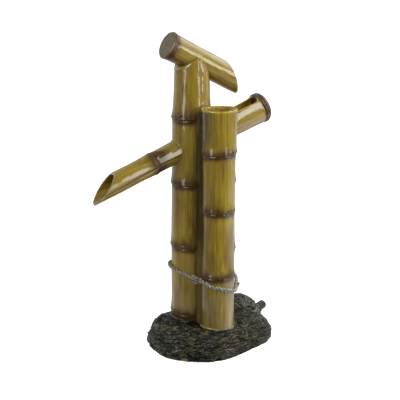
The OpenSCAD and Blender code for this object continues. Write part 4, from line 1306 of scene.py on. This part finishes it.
def rock_relief(x, y, z):
    """Slate-like relief: ledges of uneven depth, cracks and grit.
    Returns the displacement and how much a place stands out."""
    rough = 1 - 0.60 * smooth(66, 84, x) * smooth(-58, -30, y) - 0.45 * smooth(74, 98, x) * (1 - smooth(-60, -40, y)) * (1 - smooth(14, 22, z))
    rough = np.clip(rough + 0.3 * noise3(x / 19, y / 19, z / 14, 205), 0.12, 1.15)
    warp = 4.2 * noise3(x / 30, y / 30, z / 50, 211) + 1.6 * noise3(x / 10, y / 10, z / 14, 212)
    lay = (z + warp) / 5.2
    i1 = np.floor(lay)
    f1 = lay - i1
    n1 = noise3(x / 10.5, y / 10.5, i1 * 3.71, 221)
    e1 = np.minimum(f1, 1 - f1)
    lay2 = (z + 1.5 * warp + 1.2 * noise3(x / 6, y / 6, z / 6, 213)) / 2.9 + 0.37
    i2 = np.floor(lay2)
    f2 = lay2 - i2
    n2 = noise3(x / 5.6, y / 5.6, i2 * 5.13, 222)
    e2 = np.minimum(f2, 1 - f2)
    d1, d2, cv = cells3(x / 9.0, y / 9.0, z / 5.0 + 0.2 * warp, 223)
    crack = 1 - smooth(0.0, 0.14, d2 - d1)
    lumps = 1.1 * noise3(x / 14, y / 14, z / 8, 231)
    small = 0.75 * noise3(x / 4.2, y / 4.2, z / 2.8, 232)
    grit = 0.42 * noise3(x / 2.1, y / 2.1, z / 1.8, 233)
    cre1 = np.exp(-(e1 / 0.10) ** 2)
    cre2 = np.exp(-(e2 / 0.14) ** 2)
    fine = 2.0 * n1 + 1.15 * n2 + 0.9 * cv - 1.15 * cre1 - 0.55 * cre2 - 0.95 * crack + small
    disp = rough * (fine + lumps) + grit * (0.45 + 0.55 * rough) + 0.5 * noise3(x / 9, y / 9, z / 9, 235)
    high = rough * (0.42 * n1 + 0.55 * n2 + 0.30 * cv + 0.45 * small - 0.85 * cre1 - 0.55 * cre2 - 0.75 * crack) + 0.55 * grit
    lip = np.exp(-((f1 - 0.84) / 0.10) ** 2) * smooth(-0.05, 0.45, n1) + 0.7 * np.exp(-((f2 - 0.80) / 0.13) ** 2) * smooth(0.0, 0.5, n2)
    return disp, high, lip * rough, lay, lay2


def rock():
    h = 0.95
    org = np.array([-88.0, -104.0, -1.9])
    n = (np.array([130.0, 54.0, 56.0]) - org) / h
    gx = org[0] + h * np.arange(int(n[0]) + 1)
    gy = org[1] + h * np.arange(int(n[1]) + 1)
    gz = org[2] + h * np.arange(int(n[2]) + 1)
    X, Y, Z = np.meshgrid(gx, gy, gz, indexing="ij")
    fz = np.interp(Z, F_Z[:, 0], F_Z[:, 1]) - (0.045 * (1 - smooth(0, 15, Z)) + 0.035 * np.exp(-((Z - 20) / 8) ** 2)) * smooth(-25, -70, X)
    f1 = outline(X, Y, fz)
    top = 38.2 + 1.2 * noise3(X[:, :, :1] / 22, Y[:, :, :1] / 22, 0 * X[:, :, :1], 201)
    f2 = top - Z
    body = smin(f1, f2, 3.0)
    rh = np.interp(Z, HUMP_Z[:, 0], HUMP_Z[:, 1])
    hump = rh - np.hypot((X - 84) / 1.02, (Y - 4) / 0.98)
    rn = np.interp(Z, [0, 26, 33, 38, 42, 60], [24, 23, 18.5, 12, 3, -20])
    nose = rn - np.hypot(X - 87, Y + 15)
    # boss round the inlet
    ca, sa = math.cos(math.radians(30)), math.sin(math.radians(30))
    dx, dy, dz = X - 125.5, Y + 3.5, Z - 28.5
    along = -(dx * ca + dy * sa)                # inwards from the open end
    rad = np.hypot(-dx * sa + dy * ca, dz)
    boss = np.minimum(9.4 + (along - 19) * 0.17 - rad, np.minimum(along - 19.0, 44 - along))
    body = smax(body, hump * 0.92, 4.0)
    body = smax(body, nose * 0.92, 4.0)
    body = smax(body, boss, 1.5)
    near = np.abs(body) < 6.5
    x, y, z = X[near], Y[near], Z[near]
    disp = rock_relief(x, y, z)[0]
    hug = 1.0 - 0.8 * (1 - smooth(2, 12, rad[near])) * (along[near] > 5)
    # calmer round the canes so that they stay seated
    for c, r in (((0, 0), 30), (FRONT_P, 25), (REAR_P, 22)):
        dd = np.hypot(x - c[0], y - c[1]) - r
        hug = hug * (0.35 + 0.65 * smooth(0, 6, dd))
    body[near] += (disp - 0.45) * hug * smooth(-1, 3, z)
    # flat underside, the cover's recess, the hollow, sockets and the hose's way in
    body = np.minimum(body, Z - 0.4)
    body = np.minimum(np.minimum(body, Y + 97.7), 45.9 - Y)
    rec = np.minimum(outline(X, Y, 0.84), 4.0 - Z)
    cav = np.minimum(outline(X, Y, 0.78), 18.5 - Z)
    for bx, by in ((-43, 9), (-36, -57), (72, -53), (66, 16)):
        cav = np.minimum(cav, np.maximum(np.hypot(X - bx, Y - by) - 5.5, 4.0 - Z))
    cut = np.maximum(rec, cav)
    for c, r in (((0, 0), 29.3), (FRONT_P, 24.2), (REAR_P, 21.0)):
        cut = np.maximum(cut, np.minimum(r - np.hypot(X - c[0], Y - c[1]), Z - 27.0))
    cut = np.maximum(cut, np.minimum(11.5 - np.hypot(X, Y), Z - 3))
    cut = np.maximum(cut, np.minimum(8.0 - rad, np.minimum(along - 10, 28 - along)))
    cut = np.maximum(cut, np.minimum(10.0 - rad, 17.0 - along))
    body = np.minimum(body, -cut)
    v, q = surface_nets(body, org, h)
    o = make("rock_foot", v, q.tolist(), "rock_base")
    p = points(o)
    _, high, lip, lay, lay2 = rock_relief(p[:, 0], p[:, 1], p[:, 2])
    put(o, "high", high)
    put(o, "lay", lay)
    put(o, "laytwo", lay2)
    oc = smooth(-0.45, 0.30, noise3(p[:, 0] / 22, p[:, 1] / 22, p[:, 2] / 10, 241))
    put(o, "ochre", np.clip(oc * lip, 0, 1.2))
    pl = smooth(60, 86, p[:, 0]) * smooth(-60, -28, p[:, 1]) * 0.85
    pl = np.maximum(pl, 0.6 * smooth(70, 96, p[:, 0]) * (1 - smooth(12, 20, p[:, 2])))
    pl = np.maximum(pl, 0.55 * smooth(-38, -68, p[:, 0]))
    pl = np.clip(pl + 0.35 * noise3(p[:, 0] / 14, p[:, 1] / 14, p[:, 2] / 9, 243) * (0.4 + pl), 0, 1)
    put(o, "plain", pl)
    paint(o, M_rock)
    return o


# ------------------------------------------------------------------ rope
ROPE = [[-31.6, -8.5, 115], [-24.8, -26, 112], [-18.6, -42, 109.6], [-12.4, -58, 108.2],
        [-7, -68, 104], [3, -76.5, 101.5], [15, -79.2, 98], [27, -75.6, 94.5], [35.8, -67.2, 92],
        [47.5, -49, 90], [59, -31.5, 88], [70, -14, 86.5], [74.4, -2, 87], [73, 9.5, 89], [66, 18.5, 92],
        [55, 24.3, 95.5], [38, 28.2, 100], [20, 31, 105], [3, 33, 110], [-13, 30.4, 114],
        [-26, 20.2, 116.5], [-32.4, 6, 117]]
KNOT_C = np.array([-17.3, -45.6, 109.2])
KNOT_D = np.array([0.364, -0.923, -0.122])


def strands(path, closed, off, r, pitch, count, k, phase=0.0, fibres=9, depth=0.10):
    p, L = resample(path, 0.55, closed)
    if closed:
        turns = round(L / pitch)
        pitch = L / turns
    _, u, w = frames(p, closed)
    n = len(p)
    s = np.arange(n) * (L / n if closed else L / (n - 1))
    all_v, all_f, crest = [], [], []
    base = 0
    for c in range(count):
        a = 2 * math.pi * (s / pitch + c / count) + phase
        q = p + off * (np.cos(a)[:, None] * u + np.sin(a)[:, None] * w)
        wob = 1 + 0.10 * noise3(q[:, 0] / 3, q[:, 1] / 3, q[:, 2] / 3, 300 + c)

        def bumps(i, ang):
            return depth * np.cos(fibres * (ang - 2.2 * a[i]))
        rings = tube(q, r * wob, k, closed, bumps)
        v, f = loft(rings, join=closed)
        all_v.append(v)
        all_f += [[x + base for x in y] for y in f]
        base += len(v)
        # how far out from the rope's own axis; the material paints shade where this is low
        d = np.concatenate([np.linalg.norm(rings[i] - p[i], axis=1) for i in range(n)])
        if not closed:
            d = np.concatenate([d, [r, r]])
        crest.append(np.clip((d - 0.9) / (off + r - 0.9), 0, 1))
    return np.concatenate(all_v), all_f, np.concatenate(crest)


def rope():
    path = catmull(ROPE, 8, True)
    v, f, cr = strands(path, True, 1.34, 1.46, 11.0, 2, 14)
    o = make("rope_band", v, f, "rope_loop")
    put(o, "crest", cr)
    paint(o, M_rope)
    # knot: a flattened overhand loop with an outer wrap
    t = np.linspace(0, 2 * math.pi, 90, endpoint=False)
    e1 = KNOT_D / np.linalg.norm(KNOT_D)
    out = np.array([-0.90, -0.35, 0.25])
    out -= e1 * out.dot(e1)
    out /= np.linalg.norm(out)
    up = np.cross(e1, out)
    if up[2] < 0:
        up = -up
    x = (np.sin(t) + 2 * np.sin(2 * t)) * 3.0
    y = (np.cos(t) - 2 * np.cos(2 * t)) * 1.75
    z = -np.sin(3 * t) * 1.7
    c = KNOT_C + out * 1.6
    loop = c + x[:, None] * e1 + y[:, None] * up + z[:, None] * out
    v1, f1, c1 = strands(loop, True, 0.62, 0.86, 7.0, 2, 10, 0.6, 6, 0.06)
    # short wraps at both sides of the loop
    V, Fc, C = [v1], list(f1), [c1]
    base = len(v1)
    for sh in (-7.0, 1.0, 7.2):
        tt = np.linspace(0, 2 * math.pi, 40, endpoint=False)
        ring = KNOT_C + e1 * (sh + 0.9 * np.sin(tt))[:, None] + 3.3 * (np.cos(tt)[:, None] * up + np.sin(tt)[:, None] * out)
        vv, ff, cc = strands(ring, True, 0.55, 0.80, 6.0, 2, 10, sh, 6, 0.06)
        V.append(vv)
        Fc += [[a + base for a in b] for b in ff]
        C.append(cc)
        base += len(vv)
    o = make("rope_tie", np.concatenate(V), Fc, "rope_knot")
    put(o, "crest", np.concatenate(C))
    paint(o, M_rope)
    # frayed end on the right
    rng = np.random.default_rng(7)
    V, Fc, C, base = [], [], [], 0
    root = np.array([43.5, -58.5, 89.5])
    tip = np.array([53.5, -47.5, 92.5])
    for i in range(16):
        a = rng.uniform(-1, 1, 3)
        b = rng.uniform(-1, 1, 3)
        path = np.array([root + a * 1.0, root * 0.6 + tip * 0.4 + a * 1.4 + [0, 0, -0.4],
                         root * 0.25 + tip * 0.75 + b * 1.7, tip + b * np.array([2.2, 2.0, 2.2])])
        pp = catmull(path, 6, False)
        rr = np.linspace(0.62, 0.22, len(pp))
        vv, ff = loft(tube(pp, rr, 7))
        V.append(vv)
        Fc += [[x + base for x in y] for y in ff]
        C.append(np.full(len(vv), 0.75))
        base += len(vv)
    o = make("rope_fray", np.concatenate(V), Fc, "rope_tails")
    put(o, "crest", np.concatenate(C))
    paint(o, M_rope)


def foot_bead():
    """Uneven lip where the canes stand on the rock."""
    V, Fc, base = [], [], 0
    for c, R, skip, seed in (((0.0, 0.0), 30.3, FRONT_P, 401), (tuple(FRONT_P), 25.0, np.array([0.0, 0.0]), 402)):
        toward = math.atan2(skip[1] - c[1], skip[0] - c[0])
        th = toward + np.radians(np.arange(34, 327, 2.0))
        z = 38.0 + 1.4 * noise3(np.cos(th) * 2.4, np.sin(th) * 2.4, 0 * th + 0.3, seed)
        rr = R + 0.1 + 0.4 * noise3(np.cos(th) * 4, np.sin(th) * 4, 0 * th + 0.7, seed + 1)
        p, L = resample(np.stack([c[0] + rr * np.cos(th), c[1] + rr * np.sin(th), z], 1), 1.2, False)
        r = 1.5 * (1 + 0.5 * noise3(p[:, 0] / 4.5, p[:, 1] / 4.5, p[:, 2] / 5, seed + 5))
        t = np.linspace(0, 1, len(p))
        r = r * np.clip(np.minimum(t, 1 - t) * 12, 0.3, 1)
        v, f = loft(tube(p, r, 10))
        V.append(v)
        Fc += [[x + base for x in y] for y in f]
        base += len(v)
    o = make("foot_lip", np.concatenate(V), Fc, "foot_bead")
    # stain is the brown foot; shade is painted shade on the lip
    put_cane(o, None, lambda p: p + np.array([20, 0, 8000.0]),
             lambda p: np.where(np.hypot(p[:, 0] - FRONT_P[0], p[:, 1] - FRONT_P[1]) < 28.5, 0.12, 0.9),
             lambda p: np.where(np.hypot(p[:, 0] - FRONT_P[0], p[:, 1] - FRONT_P[1]) < 28.5, 0.25, 0.2))
    paint(o, M_bamboo)


# ------------------------------------------------------------------ build
tall_pole()
front_pole()
rear_pole()
pouring_arm()
spout()
saddle()
arm_bead("arm_lip_low", -1, "arm_bead_low")
arm_bead("arm_lip_high", 1, "arm_bead_high")
rear_bead()
front_web()
rear_web()
rock()
rope()
foot_bead()

for name, mat in {"inlet_spigot": M_black, "inlet_gland": M_rubber, "inlet_hose": M_hose, "base_elbow": M_black,
                  "riser_hose": M_hose, "arm_grommets": M_rubber, "spout_nozzle": M_black, "hose_clips": M_steel,
                  "base_cover": M_cover, "cover_screws": M_steel, "foot_pads": M_rubber}.items():
    paint(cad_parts[name], mat)

# ------------------------------------------------------------------ stage
me = bpy.data.meshes.new("floor")
me.from_pydata([(-12, -12, -0.0003), (12, -12, -0.0003), (12, 12, -0.0003), (-12, 12, -0.0003)], [], [[0, 1, 2, 3]])
floor = bpy.data.objects.new("floor", me)
bpy.context.scene.collection.objects.link(floor)
ft = Tree("floor_pale")
ft.set(Base_Color=(0.93, 0.93, 0.93), Roughness=0.9, Specular_IOR_Level=0.1,
       Emission_Color=(1.0, 1.0, 1.0), Emission_Strength=0.90)
me.materials.append(ft.m)
# the gloss shows the softboxes, not the floor, and the world gives the floor's fill
floor.visible_glossy = False
floor.visible_diffuse = False
# pale backdrop all round, so that every side is seen against the same white
wall_me = bpy.data.meshes.new("backdrop")
_ring = [(11.5 * math.cos(i * math.pi / 24), 11.5 * math.sin(i * math.pi / 24)) for i in range(48)]
wall_me.from_pydata([(x, y, -0.0003) for x, y in _ring] + [(x, y, 14.0) for x, y in _ring], [],
                    [[i, (i + 1) % 48, 48 + (i + 1) % 48, 48 + i] for i in range(48)])
backdrop = bpy.data.objects.new("backdrop", wall_me)
bpy.context.scene.collection.objects.link(backdrop)
bt = Tree("backdrop_pale")
bt.set(Base_Color=(0.93, 0.93, 0.93), Roughness=0.9, Specular_IOR_Level=0.0,
       Emission_Color=(1.0, 1.0, 1.0), Emission_Strength=0.98)
wall_me.materials.append(bt.m)
backdrop.visible_glossy = False
backdrop.visible_diffuse = False
backdrop.visible_shadow = False

BACK_H = (0.5, 0.8660, 0.0)        # level, away from the photograph's side
RIGHT_H = (0.8660, -0.5, 0.0)      # level, to the right of the photograph
TARGET = np.array([20.0, -20.0, 300.0])

world = bpy.data.worlds.new("studio")
bpy.context.scene.world = world
world.use_nodes = True
wt = world.node_tree
wt.nodes.clear()


def wdot(v, direction):
    n = wt.nodes.new("ShaderNodeVectorMath")
    n.operation = "DOT_PRODUCT"
    wt.links.new(v, n.inputs[0])
    n.inputs[1].default_value = direction
    return n.outputs["Value"]


def wrange(v, a, b, lo, hi):
    n = wt.nodes.new("ShaderNodeMapRange")
    n.interpolation_type = "SMOOTHSTEP"
    n.inputs["From Min"].default_value = a
    n.inputs["From Max"].default_value = b
    n.inputs["To Min"].default_value = lo
    n.inputs["To Max"].default_value = hi
    wt.links.new(v, n.inputs["Value"])
    return n.outputs[0]


def wmath(op, a, b):
    n = wt.nodes.new("ShaderNodeMath")
    n.operation = op
    for i, v in enumerate((a, b)):
        if isinstance(v, (int, float)):
            n.inputs[i].default_value = v
        else:
            wt.links.new(v, n.inputs[i])
    return n.outputs[0]


wdir = wt.nodes.new("ShaderNodeTexCoord").outputs["Generated"]
w_back = wrange(wdot(wdir, BACK_H), -0.05, 0.62, 0.0, 0.80)
w_gap = wmath("ADD", wrange(wdot(wdir, (0, 0, 1)), -0.185, -0.150, 0.08, 1.0), wrange(wdot(wdir, (0, 0, 1)), -0.240, -0.275, 0.0, 0.92))
w_right = wmath("MULTIPLY", wrange(wdot(wdir, RIGHT_H), 0.25, 0.95, 0.0, 0.30), w_gap)
w_up = wrange(wdot(wdir, (0, 0, 1)), -0.05, 0.25, 0.25, 1.0)
w_left = wmath("MULTIPLY", wrange(wdot(wdir, RIGHT_H), -0.45, -0.95, 0.0, 1.0), w_up)
w_top = wrange(wdot(wdir, (0, 0, 1)), 0.45, 0.95, 0.0, 0.12)
w_low = wrange(wdot(wdir, (0, 0, 1)), -0.85, -0.15, 0.35, 1.0)
w_table = wmath("MULTIPLY", wrange(wdot(wdir, (0, 0, 1)), -0.28, -0.50, 0.0, 0.38), wrange(wdot(wdir, (-0.5, -0.8660, 0.0)), 0.45, 0.78, 1.0, 0.12))
w_sum = wmath("ADD", wmath("ADD", w_back, w_right), wmath("ADD", wmath("ADD", w_left, w_top), 0.12))
w_sum = wmath("ADD", wmath("MULTIPLY", w_sum, w_low), w_table)
w_glow = wmath("MULTIPLY", wrange(wdot(wdir, (RIGHT_H[0], RIGHT_H[1], -0.8)), 1.05, 1.20, 0.0, 1.5), wrange(wdot(wdir, (0, 0, 1)), -0.20, -0.30, 0.0, 1.0))
w_sum = wmath("MULTIPLY", wmath("ADD", w_sum, w_glow), 0.76)
bg = wt.nodes.new("ShaderNodeBackground")
bg.inputs["Color"].default_value = (1, 1, 1, 1)
wt.links.new(w_sum, bg.inputs["Strength"])
wo = wt.nodes.new("ShaderNodeOutputWorld")
wt.links.new(bg.outputs[0], wo.inputs[0])


def softbox(name, az, el, dist, width, height, radiance, gloss=True, diffuse=True, roll=0.0):
    """az: degrees to the right of the photograph's side, seen from the object."""
    a, e = math.radians(az), math.radians(el)
    d = (math.sin(a) * np.array(RIGHT_H) - math.cos(a) * np.array(BACK_H)) * math.cos(e) + np.array([0, 0, math.sin(e)])
    pos = TARGET + d * dist
    li = bpy.data.lights.new(name, "AREA")
    li.shape = "RECTANGLE"
    li.size, li.size_y = width, height
    li.energy = radiance * math.pi * width * height
    o = bpy.data.objects.new(name, li)
    bpy.context.scene.collection.objects.link(o)
    p, q = Vector(pos * MM + S), Vector(TARGET * MM + S)
    o.location = p
    o.rotation_euler = ((q - p).to_track_quat("-Z", "Y").to_matrix() @ Matrix.Rotation(math.radians(roll), 3, "Z")).to_euler()
    o.visible_camera = False
    o.visible_glossy = gloss
    o.visible_diffuse = diffuse
    return o


softbox("key_right", 62.6, 30.5, 1400, 1.09, 1.70, 3.4, gloss=False)
softbox("arm_gloss", 44.5, 31, 1405, 0.32, 1.85, 5.0, diffuse=False)
softbox("spout_gloss", 74.5, 9.5, 1400, 0.48, 0.54, 5.2, diffuse=False)
softbox("soft_gloss", 66, 44, 1410, 0.90, 0.90, 1.3, diffuse=False)
softbox("strip_right", 47, -5.5, 1400, 0.30, 0.13, 2.4, diffuse=False)
softbox("strip_left", -46.8, 24, 1400, 0.34, 1.70, 3.9, diffuse=False)
softbox("strip_left_soft", -46.8, 24, 1410, 0.20, 1.70, 4.2, gloss=False)
softbox("strip_left_high", -40, 33, 1450, 0.62, 0.74, 4.0, diffuse=False)
softbox("fill_left", -38, 56, 1500, 1.00, 0.80, 0.8, gloss=False)
softbox("fill_front", -20, 12, 2000, 1.40, 1.00, 2.1, gloss=False)
softbox("fill_low", 62, 6, 1400, 1.20, 0.50, 3.9, gloss=False)
softbox("rim_right", 126, 30, 1500, 1.30, 0.62, 1.8)

# ------------------------------------------------------------------ camera
cam_data = bpy.data.cameras.new("camera")
cam = bpy.data.objects.new("camera", cam_data)
bpy.context.scene.collection.objects.link(cam)
cam_data.sensor_width = 36.0
cam_data.lens = 81.0
cam_data.clip_start, cam_data.clip_end = 0.05, 100
fwd = Vector((0.4818, 0.8345, -0.2672)).normalized()
right = fwd.cross(Vector((0, 0, 1))).normalized()
up = right.cross(fwd)
roll = math.radians(0.27)
up2 = up * math.cos(roll) - right * math.sin(roll)
right2 = right * math.cos(roll) + up * math.sin(roll)
loc = Vector(np.array([-618.2, -1095.16, 562.82]) * MM + S)
cam.matrix_world = Matrix((
    (right2.x, up2.x, -fwd.x, loc.x), (right2.y, up2.y, -fwd.y, loc.y),
    (right2.z, up2.z, -fwd.z, loc.z), (0, 0, 0, 1)))
bpy.context.scene.camera = cam

vs = bpy.context.scene.view_settings
vs.view_transform = "Standard"
vs.look = "None"
vs.exposure = 0.0
vs.gamma = 1.0
